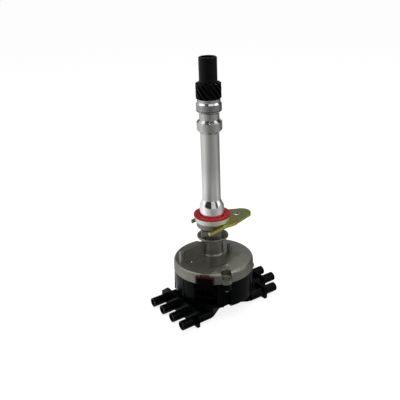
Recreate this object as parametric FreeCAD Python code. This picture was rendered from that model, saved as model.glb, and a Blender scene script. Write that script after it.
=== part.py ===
import FreeCAD, Part
import math
import os

# Ignition distributor with a flat cap, standing on its cap as it is photographed: gear end up.
# Millimetres. The origin is on the shaft axis at the seat, the face of the gasket that meets the
# engine. +Z runs along the shaft towards the drive gear, +X along the longer row of plug towers.

# Clearances
RUNNING = 0.05
SLIDING = 0.03
LOOSE = 0.3
BRUSH_GAP = 0.1
END_PLAY = 0.1

# Shaft and bushings
SHAFT_R = 6.2
BUSHING_WALL = 2.3
BUSHING_LENGTH = 22.0
SHAFT_BORE_R = 7.4
SEAL_R = 9.6
SEAL_LENGTH = 4.0

# Nose of the housing: two pilot bands with an oil groove between them
PILOT_R = 16.1
GROOVE_R = 12.8
STEM_R = 12.0
NOSE_TOP = 149.5
BAND_LENGTH = 10.9
GROOVE_LENGTH = 14.0
BAND_TAPER = 3.0
BAND_CHAMFER = 0.9

# Seat: lower pilot, cone, gasket and collar
LOWER_PILOT_LENGTH = 10.0
CONE_LENGTH = 8.4
GASKET_THICKNESS = 2.4
GASKET_CLEARANCE = 1.0
GASKET_LIP = 1.8
GASKET_GROOVE_INSET = 2.3
GASKET_GROOVE_WIDTH = 0.7
GASKET_GROOVE_DEPTH = 0.35
COLLAR_SHELF = 6.4
COLLAR_LENGTH = 7.7
COLLAR_CHAMFER = 1.6
BARREL_STEP = 1.5
BARREL_ROUND = 2.0
BARREL_LENGTH = 6.7
BARREL_TAPER = 3.9
BARREL_END_R = 17.0

# Square wrench block, disc and neck
BLOCK_FLATS = 27.0
BLOCK_LENGTH = 10.1
BLOCK_ANGLE = 45.0
BLOCK_CORNER = 1.6
DISC_R = 21.05
DISC_THICKNESS = 3.2
NECK_R = 13.7
NECK_LENGTH = 23.0
DISC_FOOT_FILLET = 1.0
NECK_FILLET = 3.0

# Bowl
BOWL_R = 54.1
BOWL_DRAFT = 0.6
BOWL_SLOPE = 6.7
BOWL_RIM_FILLET = 4.0
BOWL_WALL = 3.7
BOWL_DEPTH = 13.9
BOWL_ROOF = 4.5
ROOF_BOSS_R = 12.6
ROOF_BOSS_LENGTH = 4.8

# Posts and rib cast on the bowl
REAR_POST = (167.0, 45.0, 4.0, 18.0)
FRONT_POST = (-34.0, 22.3, 3.5, 17.5)
POST_FILLET = 1.2
RIB_WIDTH = 3.6
POST_ROOT = 2.0
RIB_STEP = 1.5
RIB_RISE = 9.0

# Screw ears that hold the cap
EAR_ANGLES = (252.5, 72.5)
EAR_INSET = 3.3
EAR_R = 6.7
EAR_BOSS_R = 4.2
EAR_BOSS_LENGTH = 4.2
EAR_SINK = 0.8
SPOTFACE_R = 4.6
SPOTFACE_DEPTH = 2.2
SCREW_R = 2.4
SCREW_TIP_SINK = 1.0
SCREW_HEAD_R = 4.0
SCREW_HEAD_LENGTH = 3.4
INSERT_WALL = 0.9
LUG_THICKNESS = 5.2
LUG_SHORT = 4.0
CHANNEL_WIDTH = 9.4

# Connector of the pickup
CONNECTOR_ANGLE = 221.5
SOCKET_WIDTH = 24.0
SOCKET_HEIGHT = 10.4
SOCKET_DEPTH = 13.5
SOCKET_WALL = 1.7
SOCKET_CORNER = 3.4
SOCKET_PROUD = 4.1
SOCKET_DROP = 10.9
CONNECTOR_DROP = 0.9
CONNECTOR_NECK_WIDTH = 20.4
CONNECTOR_NECK_RISE = 0.5
GROMMET_WALL = 2.2
GROMMET_DEPTH = 5.4
GROMMET_PROUD = 0.9
NOTCH_REACH = 6.0
NOTCH_LIP_INSET = 1.6
NOTCH_LIP_DROP = 0.2
PIN_COUNT = 3
PIN_PITCH = 6.4
PIN_WIDTH = 2.8
PIN_THICKNESS = 0.8
PIN_SETBACK = 3.0

# Pickup plate, sensor and shutter
PLATE_CLEARANCE = 1.1
PLATE_THICKNESS = 4.0
PLATE_SCREW_ANGLES = (180.0, 263.5, 30.0)
PLATE_SCREW_EDGE = 7.4
SMALL_SCREW_R = 1.7
SMALL_HEAD_R = 3.1
SMALL_HEAD_LENGTH = 2.2
VANE_INSET = 2.7
VANE_THICKNESS = 1.4
VANE_HEIGHT = 8.2
VANE_COUNT = 8
VANE_GAP_SHARE = 0.42
VANE_CLEARANCE = 1.8
SHUTTER_THICKNESS = 1.5
SHUTTER_HUB_R = 9.4
SENSOR_WIDTH = 16.0
SENSOR_POST = 4.0
SENSOR_CHIP = 1.4
SENSOR_STEM = 5.0
VANE_ROOM = 1.3

# Rotor
ROTOR_INSET = 6.5
ROTOR_PLATE = 4.0
ROTOR_BOSS_R = 9.0
ROTOR_ARM_WIDTH = 12.0
ROTOR_ARM_HEIGHT = 5.0
ROTOR_ANGLE = 112.5
ROTOR_SCREW_INSET = 2.25
BLADE_THICKNESS = 1.2
BLADE_WIDTH = 7.0
BLADE_GAP = 0.9

# Cap
CAP_INSET = 0.7
CAP_WALL = 3.6
CAP_DEPTH = 36.1
CAP_FLOOR = 6.8
CAP_EDGE = 1.5
POCKET_SIDE_ROOM = 1.55
POCKET_BACK_ROOM = 1.4
POCKET_LENGTH = 30.4
POCKET_WALL = 2.4
WALL_RIB_ANGLES = (112.0, 146.0, 184.0, 300.0, 330.0, 0.0)
WALL_RIB_WIDTH = 2.4
WALL_RIB_HEIGHT = 1.4

# Plug towers
TOWER_R = 6.3
TOWER_BORE_R = 4.3
TOWER_AXIS_DROP = 11.0
TOWER_PITCH = 23.4
TOWER_LENGTH = 20.1
TOWER_BORE_DEPTH = 17.0
TOWER_STEP = 17.0
TERMINAL_R = 2.3
TERMINAL_SETBACK = 2.4
CONTACT_WALL = 1.8
CONTACT_BOSS = 5.0
TERMINAL_ROOT = 4.0
TERMINAL_LAP = 2.0
CONTACT_R = 2.5
CONTACT_INSET = 13.8
CONTACT_REACH = 4.2
CONTACT_COUNT = 8
BAR_WIDTH = 3.0
BAR_HEIGHT = 2.0
BAR_DROP_X = 34.0
BAR_DROP_R = 1.6
END_DROP_ANGLE = 56.0

# Wings that carry the towers
WING_PROUD = 3.8
WING_HALF_WIDTH = 38.0
WING_WAIST = 27.0
WING_WAIST_X = 12.0
REAR_KNEE_X = 38.0
REAR_WAIST_X = 8.0
WING_KNEE_X = 30.0
WING_ABOVE_AXIS = 4.6
WING_BELOW_AXIS = 4.8
WING_CORNER = 2.0
FLANGE_THICKNESS = 3.3
FLANGE_SIDE = 2.6
FLANGE_TOP_ROUND = 1.5
FLANGE_FOOT_ROUND = 2.5
FLANGE_BELOW = 8.3
TALL_FLANGE = 17.0
LOW_FLANGE = 9.3
TALL_FLANGE_SLOPE = 12.0
TALL_FLANGE_DROP = 9.6
RIDGE_START_X = 34.0

# Carbon brush
BRUSH_R = 2.5
BRUSH_LENGTH = 11.5
HOLDER_WALL = 2.5
HOLDER_LENGTH = 5.6
SPRING_R = 1.95
SPRING_WIRE_R = 0.28
SPRING_TURNS = 5
SPRING_LENGTH = 6.6

# Drive gear
GEAR_TEETH = 13
GEAR_R = 15.9
GEAR_ROOT_R = 12.0
GEAR_FACE = 20.1
GEAR_TWIST = 62.0
GEAR_TIP_SHARE = 0.30
GEAR_ROOT_SHARE = 0.34
GEAR_CHAMFER = 0.8
HUB_R = 11.3
HUB_LENGTH = 30.6
HUB_CHAMFER = 1.1
DRIVE_SOCKET_R = 8.2
DRIVE_SOCKET_DEPTH = 9.0
DRIVE_SLOT_WIDTH = 4.8
DRIVE_SLOT_DEPTH = 7.0
GEAR_PIN_R = 2.4
GEAR_PIN_ANGLE = 145.0
GEAR_PIN_HEIGHT = 9.18
WASHER_COUNT = 2
WASHER_THICKNESS = 1.6
WASHER_R = 14.6
WASHER_STEP = 0.8

# Hold down clamp
CLAMP_ANGLE = -5.0
CLAMP_THICKNESS = 3.6
CLAMP_ARM_WIDTH = 4.3
CLAMP_TIP_ROUND = 2.0
CLAMP_SHOULDER_X = 18.0
CLAMP_SHOULDER_ROUND = 12.0
CLAMP_NOSE_LAP = 3.0
CLAMP_NOSE_SHY = 0.6
CLAMP_BEND_R = 30.0
CLAMP_UNDER_BEND_R = 34.0
CLAMP_TIP_X = -19.0
CLAMP_NOSE_X = 45.5
CLAMP_NOSE_R = 13.4
CLAMP_HOLE_X = 38.0
CLAMP_HOLE_R = 4.9
CLAMP_BEND_X = 6.0
CLAMP_BEND_DROP = 5.0

# How far a cutting tool runs past a face, and how deep a joined form is rooted
PAST = 1.0

# Radii and widths worked out from the sizes above
COLLAR_R = PILOT_R + COLLAR_SHELF
BARREL_R = COLLAR_R - BARREL_STEP
GASKET_HOLE_R = PILOT_R + GASKET_CLEARANCE
GASKET_R = COLLAR_R + GASKET_LIP
CAP_R = BOWL_R - CAP_INSET
EAR_AXIS_R = BOWL_R - EAR_INSET
PLATE_R = EAR_AXIS_R - EAR_R - PLATE_CLEARANCE
PLATE_SCREW_R = PLATE_R - PLATE_SCREW_EDGE
SOCKET_FACE = CAP_R + SOCKET_PROUD
POCKET_WIDTH = SOCKET_WIDTH + 2 * (SOCKET_WALL + POCKET_SIDE_ROOM)
POCKET_DEPTH = SOCKET_DEPTH + SOCKET_WALL + POCKET_BACK_ROOM - SOCKET_PROUD
CONTACT_CIRCLE = CAP_R - CAP_WALL - CONTACT_INSET
ROTOR_R = CONTACT_CIRCLE - ROTOR_INSET
ROTOR_SCREW_R = (ROTOR_BOSS_R + ROTOR_R) / 2 - ROTOR_SCREW_INSET
VANE_R = ROTOR_R - VANE_INSET
WING_EDGE_X = CAP_R + WING_PROUD
CLAMP_HALF_WIDTH = BARREL_R + LOOSE + CLAMP_ARM_WIDTH

# Heights worked out from the sizes above
BAND_TOP_END = NOSE_TOP - BAND_LENGTH
BAND_LOW_TOP = BAND_TOP_END - GROOVE_LENGTH
BAND_LOW_END = BAND_LOW_TOP - BAND_LENGTH + BAND_CHAMFER
COLLAR_TOP = -GASKET_THICKNESS
COLLAR_END = COLLAR_TOP - COLLAR_LENGTH
BARREL_END = COLLAR_END - BARREL_LENGTH
BLOCK_TOP = BARREL_END - BARREL_TAPER
DISC_TOP = BLOCK_TOP - BLOCK_LENGTH
DISC_END = DISC_TOP - DISC_THICKNESS
NECK_END = DISC_END - NECK_LENGTH
RIM_TOP = NECK_END - BOWL_SLOPE
BOWL_END = RIM_TOP - BOWL_DEPTH
BOWL_TOP_R = BOWL_R - BOWL_DRAFT
BOWL_INNER_R = BOWL_TOP_R - BOWL_WALL
ROOF = RIM_TOP - BOWL_ROOF
ROOF_BOSS_END = ROOF - ROOF_BOSS_LENGTH
BUSHING_R = SHAFT_R + RUNNING + BUSHING_WALL
PLATE_END = ROOF - PLATE_THICKNESS
SENSOR_BASE = PLATE_END - SENSOR_STEM
VANE_TOP = SENSOR_BASE - VANE_ROOM
SHUTTER_TOP = VANE_TOP - VANE_HEIGHT
SHUTTER_END = SHUTTER_TOP - SHUTTER_THICKNESS
ROTOR_PLATE_END = SHUTTER_END - ROTOR_PLATE
ROTOR_ARM_END = ROTOR_PLATE_END - ROTOR_ARM_HEIGHT
BLADE_END = ROTOR_ARM_END - BLADE_THICKNESS
BLADE_TIP_R = CONTACT_CIRCLE - CONTACT_R - BLADE_GAP
CAP_TOP = BOWL_END
CAP_END = CAP_TOP - CAP_DEPTH
CAP_FLOOR_TOP = CAP_END + CAP_FLOOR
TOWER_Z = CAP_END - TOWER_AXIS_DROP
WING_TOP = TOWER_Z + WING_ABOVE_AXIS
WING_END = TOWER_Z - WING_BELOW_AXIS
GROUND = TOWER_Z - FLANGE_BELOW
EAR_BOSS_END = BOWL_END - EAR_BOSS_LENGTH
LUG_END = EAR_BOSS_END - LUG_THICKNESS
SOCKET_MID = BOWL_END - SOCKET_DROP
CONNECTOR_TOP = ROOF - CONNECTOR_DROP
CONNECTOR_NECK_END = CAP_TOP + CONNECTOR_NECK_RISE
EAR_SEAT = RIM_TOP - EAR_SINK
SCREW_TIP = EAR_SEAT - SPOTFACE_DEPTH - SCREW_TIP_SINK
BRUSH_TOP = BLADE_END - BRUSH_GAP
BRUSH_END = BRUSH_TOP - BRUSH_LENGTH
SPRING_END = BRUSH_END - SPRING_LENGTH
FLANGE_X = WING_EDGE_X - FLANGE_THICKNESS / 2
BAR_Z = CAP_END + CAP_FLOOR / 2
TOWER_ROWS = tuple((i - 1.5) * TOWER_PITCH for i in range(4))
NEAR_TIP_X = FLANGE_X + FLANGE_THICKNESS + TOWER_LENGTH
WASHER_TOP = NOSE_TOP + END_PLAY + WASHER_COUNT * (WASHER_THICKNESS + END_PLAY)
GEAR_END = WASHER_TOP
GEAR_TOP = GEAR_END + GEAR_FACE
GEAR_PIN_Z = GEAR_TOP + GEAR_PIN_HEIGHT
HUB_TOP = GEAR_TOP + HUB_LENGTH
SHAFT_TOP = HUB_TOP - DRIVE_SOCKET_DEPTH
CLAMP_TOP = COLLAR_END - LOOSE


def vec(x, y, z=0.0):
    return FreeCAD.Vector(x, y, z)


def polar(radius, angle, z=0.0):
    a = math.radians(angle)
    return vec(radius * math.cos(a), radius * math.sin(a), z)


def rounded_wire(points, place):
    """A closed wire through (a, b) or (a, b, radius) corners, each radius a tangent arc."""
    corners = []
    count = len(points)
    for i, point in enumerate(points):
        here = FreeCAD.Vector(point[0], point[1], 0)
        if len(point) < 3 or point[2] <= 0:
            corners.append((here, None, here))
            continue
        before = FreeCAD.Vector(points[i - 1][0], points[i - 1][1], 0)
        after = FreeCAD.Vector(points[(i + 1) % count][0], points[(i + 1) % count][1], 0)
        u = (before - here).normalize()
        w = (after - here).normalize()
        half = u.getAngle(w) / 2
        reach = point[2] / math.tan(half)
        middle = (u + w).normalize()
        centre = here + middle * (point[2] / math.sin(half))
        corners.append((here + u * reach, centre - middle * point[2], here + w * reach))
    edges = []
    for i, (start, mid, end) in enumerate(corners):
        if mid is not None:
            edges.append(Part.Arc(place(start), place(mid), place(end)).toShape())
        following = corners[(i + 1) % count][0]
        if (following - end).Length > 1e-6:
            edges.append(Part.LineSegment(place(end), place(following)).toShape())
    return Part.Wire(edges)


def turned(points):
    """A solid of revolution about Z from (r, z) or (r, z, radius) corners."""
    wire = rounded_wire(points, lambda p: vec(p.x, 0, p.y))
    return Part.Face(wire).revolve(vec(0, 0), vec(0, 0, 1), 360)


def plate(points, low, high):
    """A plan outline of (x, y) or (x, y, radius) corners, from height low to height high."""
    wire = rounded_wire(points, lambda p: vec(p.x, p.y, low))
    return Part.Face(wire).extrude(vec(0, 0, high - low))


def sheet_across_x(points, x0, x1):
    """An outline of (y, z) or (y, z, radius) corners, from x0 to x1."""
    wire = rounded_wire(points, lambda p: vec(x0, p.x, p.y))
    return Part.Face(wire).extrude(vec(x1 - x0, 0, 0))


def cylinder(radius, low, high, at=(0.0, 0.0)):
    return Part.makeCylinder(radius, high - low, vec(at[0], at[1], low))


def cylinder_x(radius, x0, x1, y, z):
    low, high = min(x0, x1), max(x0, x1)
    return Part.makeCylinder(radius, high - low, vec(low, y, z), vec(1, 0, 0))


def ring(inner, outer, low, high, at=(0.0, 0.0)):
    return cylinder(outer, low, high, at).cut(cylinder(inner, low - 1, high + 1, at))


def block(x0, x1, y0, y1, z0, z1):
    return Part.makeBox(x1 - x0, y1 - y0, z1 - z0, vec(x0, y0, z0))


def turn(shape, angle):
    """The shape turned about the shaft axis."""
    shape = shape.copy()
    shape.rotate(vec(0, 0), vec(0, 0, 1), angle)
    return shape


def joined(shapes):
    first, rest = shapes[0], shapes[1:]
    return first.fuse(rest).removeSplitter() if rest else first


def less(shape, cutters):
    return shape.cut(cutters).removeSplitter()


def xy(point):
    return (point.x, point.y)


def connector_prism(half_width, near, far, low, high, corner=0.0):
    """A block on the connector's axis, its corners rounded as seen from the plug."""
    z_mid = (low + high) / 2
    half_height = (high - low) / 2
    points = [(s * half_width, z_mid + t * half_height, corner)
              for s, t in ((-1, -1), (1, -1), (1, 1), (-1, 1))]
    return turn(sheet_across_x(points, near, far), CONNECTOR_ANGLE)


# Housing


def housing_profile():
    """The turned and cast outside of the housing, as one half section."""
    cone_end = LOWER_PILOT_LENGTH + CONE_LENGTH
    taper_end = BAND_LOW_END - BAND_TAPER
    return [
        (0, NOSE_TOP),
        (PILOT_R - BAND_CHAMFER, NOSE_TOP),
        (PILOT_R, NOSE_TOP - BAND_CHAMFER),
        (PILOT_R, BAND_TOP_END + BAND_CHAMFER),
        (PILOT_R - BAND_CHAMFER, BAND_TOP_END),
        (GROOVE_R, BAND_TOP_END),
        (GROOVE_R, BAND_LOW_TOP),
        (PILOT_R - BAND_CHAMFER, BAND_LOW_TOP),
        (PILOT_R, BAND_LOW_TOP - BAND_CHAMFER),
        (PILOT_R, BAND_LOW_END),
        (STEM_R, taper_end),
        (STEM_R, cone_end),
        (PILOT_R, LOWER_PILOT_LENGTH),
        (PILOT_R, COLLAR_TOP),
        (COLLAR_R - COLLAR_CHAMFER / 3, COLLAR_TOP),
        (COLLAR_R, COLLAR_TOP - COLLAR_CHAMFER / 3),
        (COLLAR_R, COLLAR_END + COLLAR_CHAMFER),
        (COLLAR_R - COLLAR_CHAMFER / 2, COLLAR_END),
        (BARREL_R, COLLAR_END),
        (BARREL_R, BARREL_END, BARREL_ROUND),
        (BARREL_END_R, BLOCK_TOP),
        (NECK_R, BLOCK_TOP),
        (NECK_R, DISC_TOP),
        (DISC_R, DISC_TOP, DISC_THICKNESS * 0.45),
        (DISC_R, DISC_END, DISC_THICKNESS * 0.45),
        (NECK_R, DISC_END, DISC_FOOT_FILLET),
        (NECK_R, NECK_END, NECK_FILLET),
        (BOWL_TOP_R, RIM_TOP, BOWL_RIM_FILLET),
        (BOWL_R, BOWL_END),
        (0, BOWL_END),
    ]


def bowl_post(spec):
    """One cast post: angle, distance from the axis, radius and height over the bowl's rim."""
    angle, distance, radius, height = spec
    centre = xy(polar(distance, angle))
    post = cylinder(radius, RIM_TOP - POST_ROOT, RIM_TOP + height, centre)
    top_edge = [e for e in post.Edges if e.BoundBox.ZMin > RIM_TOP + height - 0.01]
    return post.makeFillet(POST_FILLET, top_edge)


def bowl_rib():
    """The rib from the rear post up to the neck."""
    angle, distance, _, height = REAR_POST
    root = NECK_R - NECK_FILLET
    top = RIM_TOP + height - RIB_STEP
    wall = rounded_wire(
        [(root, RIM_TOP), (distance, RIM_TOP - POST_ROOT), (distance, top), (root, top + RIB_RISE)],
        lambda p: vec(p.x, -RIB_WIDTH / 2, p.y),
    )
    return turn(Part.Face(wall).extrude(vec(0, RIB_WIDTH, 0)), angle)


def housing_ear(angle):
    """A screw ear at the bowl's rim with the threaded boss that reaches down beside the cap."""
    centre = xy(polar(EAR_AXIS_R, angle))
    upper = cylinder(EAR_R, BOWL_END, EAR_SEAT, centre)
    lower = cylinder(EAR_BOSS_R, EAR_BOSS_END, BOWL_END + PAST, centre)
    return upper.fuse(lower)


def wrench_block():
    half = BLOCK_FLATS / 2
    corners = [(s * half, t * half, BLOCK_CORNER) for s, t in ((-1, -1), (1, -1), (1, 1), (-1, 1))]
    return turn(plate(corners, DISC_TOP - PAST, BLOCK_TOP + PAST), BLOCK_ANGLE)


def make_housing():
    body = joined([turned(housing_profile()), wrench_block(), bowl_rib(),
                   bowl_post(REAR_POST), bowl_post(FRONT_POST)]
                  + [housing_ear(a) for a in EAR_ANGLES])
    ears = [xy(polar(EAR_AXIS_R, a)) for a in EAR_ANGLES]
    low = BOWL_END - PAST
    hollow = cylinder(BOWL_INNER_R, low, ROOF)
    hollow = hollow.cut([cylinder(ROOF_BOSS_R, ROOF_BOSS_END, ROOF + PAST)]
                        + [cylinder(EAR_R, low, ROOF + PAST, at) for at in ears])
    seal_top = ROOF_BOSS_END + SEAL_LENGTH
    cuts = [
        hollow,
        cylinder(SHAFT_BORE_R, ROOF_BOSS_END - PAST, NOSE_TOP + PAST),
        cylinder(BUSHING_R, NOSE_TOP - BUSHING_LENGTH, NOSE_TOP + PAST),
        cylinder(BUSHING_R, seal_top - PAST, seal_top + BUSHING_LENGTH),
        cylinder(SEAL_R, ROOF_BOSS_END - PAST, seal_top),
        grommet_block(BOWL_INNER_R - NOTCH_REACH, BOWL_R + PAST, low),
        connector_prism(CONNECTOR_NECK_WIDTH / 3, BOWL_TOP_R - NOTCH_LIP_INSET, BOWL_R + PAST,
                        CONNECTOR_TOP, RIM_TOP - NOTCH_LIP_DROP),
    ]
    for at in ears:
        cuts.append(cylinder(SCREW_R, EAR_BOSS_END - PAST, EAR_SEAT + PAST, at))
        cuts.append(cylinder(SPOTFACE_R, EAR_SEAT - SPOTFACE_DEPTH, NECK_END, at))
        cuts.append(cylinder(EAR_R, EAR_SEAT, NECK_END, at))
    for angle in PLATE_SCREW_ANGLES:
        cuts.append(cylinder(SMALL_SCREW_R, ROOF - PAST, NECK_END, xy(polar(PLATE_SCREW_R, angle))))
    return less(body, cuts)


def make_gasket():
    inner = GASKET_HOLE_R + GASKET_GROOVE_INSET
    groove = ring(inner, inner + GASKET_GROOVE_WIDTH, -GASKET_GROOVE_DEPTH, PAST)
    return ring(GASKET_HOLE_R, GASKET_R, COLLAR_TOP, 0).cut(groove)


def make_upper_bushing():
    return ring(SHAFT_R + RUNNING, BUSHING_R, NOSE_TOP - BUSHING_LENGTH, NOSE_TOP)


def make_lower_bushing():
    low = ROOF_BOSS_END + SEAL_LENGTH
    return ring(SHAFT_R + RUNNING, BUSHING_R, low, low + BUSHING_LENGTH)


def make_shaft_seal():
    low = ROOF_BOSS_END
    return turned([
        (SHAFT_R + RUNNING, low + SEAL_LENGTH),
        (SEAL_R, low + SEAL_LENGTH),
        (SEAL_R, low),
        (SHAFT_R + 1.6, low),
        (SHAFT_R + 1.6, low + SEAL_LENGTH * 0.4),
        (SHAFT_R + RUNNING, low + SEAL_LENGTH * 0.6),
    ])


# Pickup


def sensor_walls():
    """Radii of the two posts between which the shutter's vanes pass."""
    inner_far = VANE_R - VANE_THICKNESS - VANE_CLEARANCE
    outer_near = VANE_R + VANE_CLEARANCE
    return inner_far, outer_near


def make_pickup():
    inner_far, outer_near = sensor_walls()
    half = SENSOR_WIDTH / 2
    neck_half = CONNECTOR_NECK_WIDTH / 2
    wall = SOCKET_WALL
    low = SOCKET_MID - SOCKET_HEIGHT / 2
    high = SOCKET_MID + SOCKET_HEIGHT / 2
    back = SOCKET_FACE - SOCKET_DEPTH
    solids = [
        ring(ROOF_BOSS_R + LOOSE, PLATE_R, PLATE_END, ROOF),
        connector_prism(half, inner_far - SENSOR_POST, outer_near + SENSOR_POST, SENSOR_BASE, PLATE_END),
        connector_prism(half, inner_far - SENSOR_POST, inner_far, SHUTTER_TOP + 2.0, PLATE_END),
        connector_prism(half, outer_near, outer_near + SENSOR_POST, SHUTTER_TOP + 2.0, PLATE_END),
        connector_prism(neck_half, outer_near, SOCKET_FACE - 2.0, CONNECTOR_NECK_END, CONNECTOR_TOP),
        connector_prism(neck_half, back - wall, SOCKET_FACE - 1.2, high, CONNECTOR_TOP, 1.0),
        connector_prism(SOCKET_WIDTH / 2 + wall, back - wall, SOCKET_FACE, low - wall, high + wall,
                        SOCKET_CORNER + wall),
    ]
    body = joined(solids)
    cuts = [connector_prism(SOCKET_WIDTH / 2, back, SOCKET_FACE + 1, low, high, SOCKET_CORNER)]
    cuts += [sensor_chip_shape(), magnet_shape()]
    cuts += [cylinder(SMALL_SCREW_R + LOOSE, PLATE_END - 6, ROOF + 1, xy(polar(PLATE_SCREW_R, a)))
             for a in PLATE_SCREW_ANGLES]
    cuts += connector_pin_shapes()
    return less(body, cuts)


def sensor_chip_shape():
    """The sensor let into the inner post, facing the vanes."""
    inner_far = sensor_walls()[0]
    mid = (SHUTTER_TOP + 2.0 + SENSOR_BASE) / 2
    return connector_prism(2.2, inner_far - SENSOR_CHIP, inner_far, mid - 1.6, mid + 1.6)


def magnet_shape():
    """The magnet let into the outer post, facing the sensor."""
    outer_near = sensor_walls()[1]
    mid = (SHUTTER_TOP + 2.0 + SENSOR_BASE) / 2
    return connector_prism(3.0, outer_near, outer_near + SENSOR_CHIP * 1.6, mid - 2.2, mid + 2.2)


def connector_pin_shapes():
    back = SOCKET_FACE - SOCKET_DEPTH
    pins = []
    for i in range(PIN_COUNT):
        side = (i - (PIN_COUNT - 1) / 2) * PIN_PITCH
        blade = block(back - SOCKET_WALL, SOCKET_FACE - PIN_SETBACK, side - PIN_WIDTH / 2,
                      side + PIN_WIDTH / 2, SOCKET_MID - PIN_THICKNESS / 2, SOCKET_MID + PIN_THICKNESS / 2)
        pins.append(turn(blade, CONNECTOR_ANGLE))
    return pins


def make_connector_pins():
    return Part.makeCompound(connector_pin_shapes())


def grommet_block(near, far, low):
    """The grommet's outline between two distances from the axis, which the bowl's notch follows too."""
    return connector_prism(CONNECTOR_NECK_WIDTH / 2 + GROMMET_WALL, near, far, low,
                           CONNECTOR_TOP + GROMMET_WALL)


def make_connector_seal():
    """The grommet between the notch in the bowl and the connector's neck, open below."""
    far = BOWL_TOP_R + GROMMET_PROUD
    near = far - GROMMET_DEPTH
    bore = connector_prism(CONNECTOR_NECK_WIDTH / 2, near - PAST, far + PAST, BOWL_END - PAST, CONNECTOR_TOP)
    return grommet_block(near, far, BOWL_END).cut(bore)


def screw(radius, head_r, head_length, seat, tip, at):
    """A pan head screw on a vertical axis; the head lies below its seat."""
    shank = cylinder(radius, seat, tip, at)
    head = cylinder(head_r, seat - head_length, seat, at)
    low_edge = [e for e in head.Edges if e.BoundBox.ZMax < seat - head_length + 0.01]
    head = head.makeFillet(head_length * 0.4, low_edge)
    recess = Part.makeBox(head_r * 1.1, head_r * 0.28, head_length * 0.5,
                          vec(at[0] - head_r * 0.55, at[1] - head_r * 0.14, seat - head_length))
    other = recess.copy()
    other.rotate(vec(at[0], at[1]), vec(0, 0, 1), 90)
    return less(head.fuse(shank), [recess, other])


def make_pickup_screws():
    return Part.makeCompound([
        screw(SMALL_SCREW_R, SMALL_HEAD_R, SMALL_HEAD_LENGTH, PLATE_END, ROOF + BOWL_ROOF,
              xy(polar(PLATE_SCREW_R, a)))
        for a in PLATE_SCREW_ANGLES])


# Rotating group


def make_shaft():
    shaft = cylinder(SHAFT_R, SHUTTER_END, SHAFT_TOP)
    slot = block(-SHAFT_R - 1, SHAFT_R + 1, -DRIVE_SLOT_WIDTH / 2, DRIVE_SLOT_WIDTH / 2,
                 SHAFT_TOP - DRIVE_SLOT_DEPTH, SHAFT_TOP + 1)
    return less(shaft, [slot, gear_pin_shape()])


def gear_pin_shape():
    pin = cylinder_x(GEAR_PIN_R, -HUB_R, HUB_R, 0, GEAR_PIN_Z)
    return turn(pin, GEAR_PIN_ANGLE)


def make_gear_pin():
    bore = cylinder_x(GEAR_PIN_R * 0.5, -HUB_R - PAST, HUB_R + PAST, 0, GEAR_PIN_Z)
    return less(gear_pin_shape(), [turn(bore, GEAR_PIN_ANGLE)])


def toothed_face():
    """The gear's section: straight flanks between a tip arc and a root arc for every tooth."""
    step = 360.0 / GEAR_TEETH
    tip = step * GEAR_TIP_SHARE / 2
    root = step * (1 - GEAR_ROOT_SHARE) / 2
    edges = []
    for i in range(GEAR_TEETH):
        mid = i * step
        foot_a = polar(GEAR_ROOT_R, mid - root, GEAR_END)
        tip_a = polar(GEAR_R, mid - tip, GEAR_END)
        tip_b = polar(GEAR_R, mid + tip, GEAR_END)
        foot_b = polar(GEAR_ROOT_R, mid + root, GEAR_END)
        next_foot = polar(GEAR_ROOT_R, mid + step - root, GEAR_END)
        edges.append(Part.LineSegment(foot_a, tip_a).toShape())
        edges.append(Part.Arc(tip_a, polar(GEAR_R, mid, GEAR_END), tip_b).toShape())
        edges.append(Part.LineSegment(tip_b, foot_b).toShape())
        edges.append(Part.Arc(foot_b, polar(GEAR_ROOT_R, mid + step / 2, GEAR_END), next_foot).toShape())
    return Part.Wire(edges)


def helical_teeth():
    """The toothed section swept up the shaft while it turns as a left hand helix."""
    spine = Part.Wire(Part.LineSegment(vec(0, 0, GEAR_END), vec(0, 0, GEAR_TOP)).toShape())
    lead = GEAR_FACE * 360.0 / GEAR_TWIST
    guide = Part.makeHelix(lead, GEAR_FACE, GEAR_R, 0, True)
    guide.translate(vec(0, 0, GEAR_END))
    sweep = Part.BRepOffsetAPI.MakePipeShell(spine)
    sweep.setAuxiliarySpine(Part.Wire(guide), True, 0)
    sweep.add(toothed_face())
    sweep.build()
    sweep.makeSolid()
    return sweep.shape()


def make_drive_gear():
    teeth = helical_teeth()
    envelope = turned([
        (0, GEAR_END), (GEAR_R - GEAR_CHAMFER * 2, GEAR_END), (GEAR_R + 1, GEAR_END + GEAR_CHAMFER * 2),
        (GEAR_R + 1, GEAR_TOP - GEAR_CHAMFER * 2), (GEAR_R - GEAR_CHAMFER * 2, GEAR_TOP), (0, GEAR_TOP),
    ])
    hub = turned([
        (0, GEAR_END), (HUB_R, GEAR_END), (HUB_R, HUB_TOP - HUB_CHAMFER),
        (HUB_R - HUB_CHAMFER, HUB_TOP), (0, HUB_TOP),
    ])
    bore = cylinder(SHAFT_R, GEAR_END - 1, HUB_TOP + 1)
    socket = cylinder(DRIVE_SOCKET_R, SHAFT_TOP, HUB_TOP + 1)
    return less(teeth.common(envelope).fuse(hub), [bore, socket, gear_pin_shape()])


def make_thrust_washers():
    washers = []
    for i in range(WASHER_COUNT):
        low = NOSE_TOP + END_PLAY + i * (WASHER_THICKNESS + END_PLAY)
        outer = WASHER_R - i * WASHER_STEP
        washers.append(ring(SHAFT_R + RUNNING, outer, low, low + WASHER_THICKNESS))
    return Part.makeCompound(washers)


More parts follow.
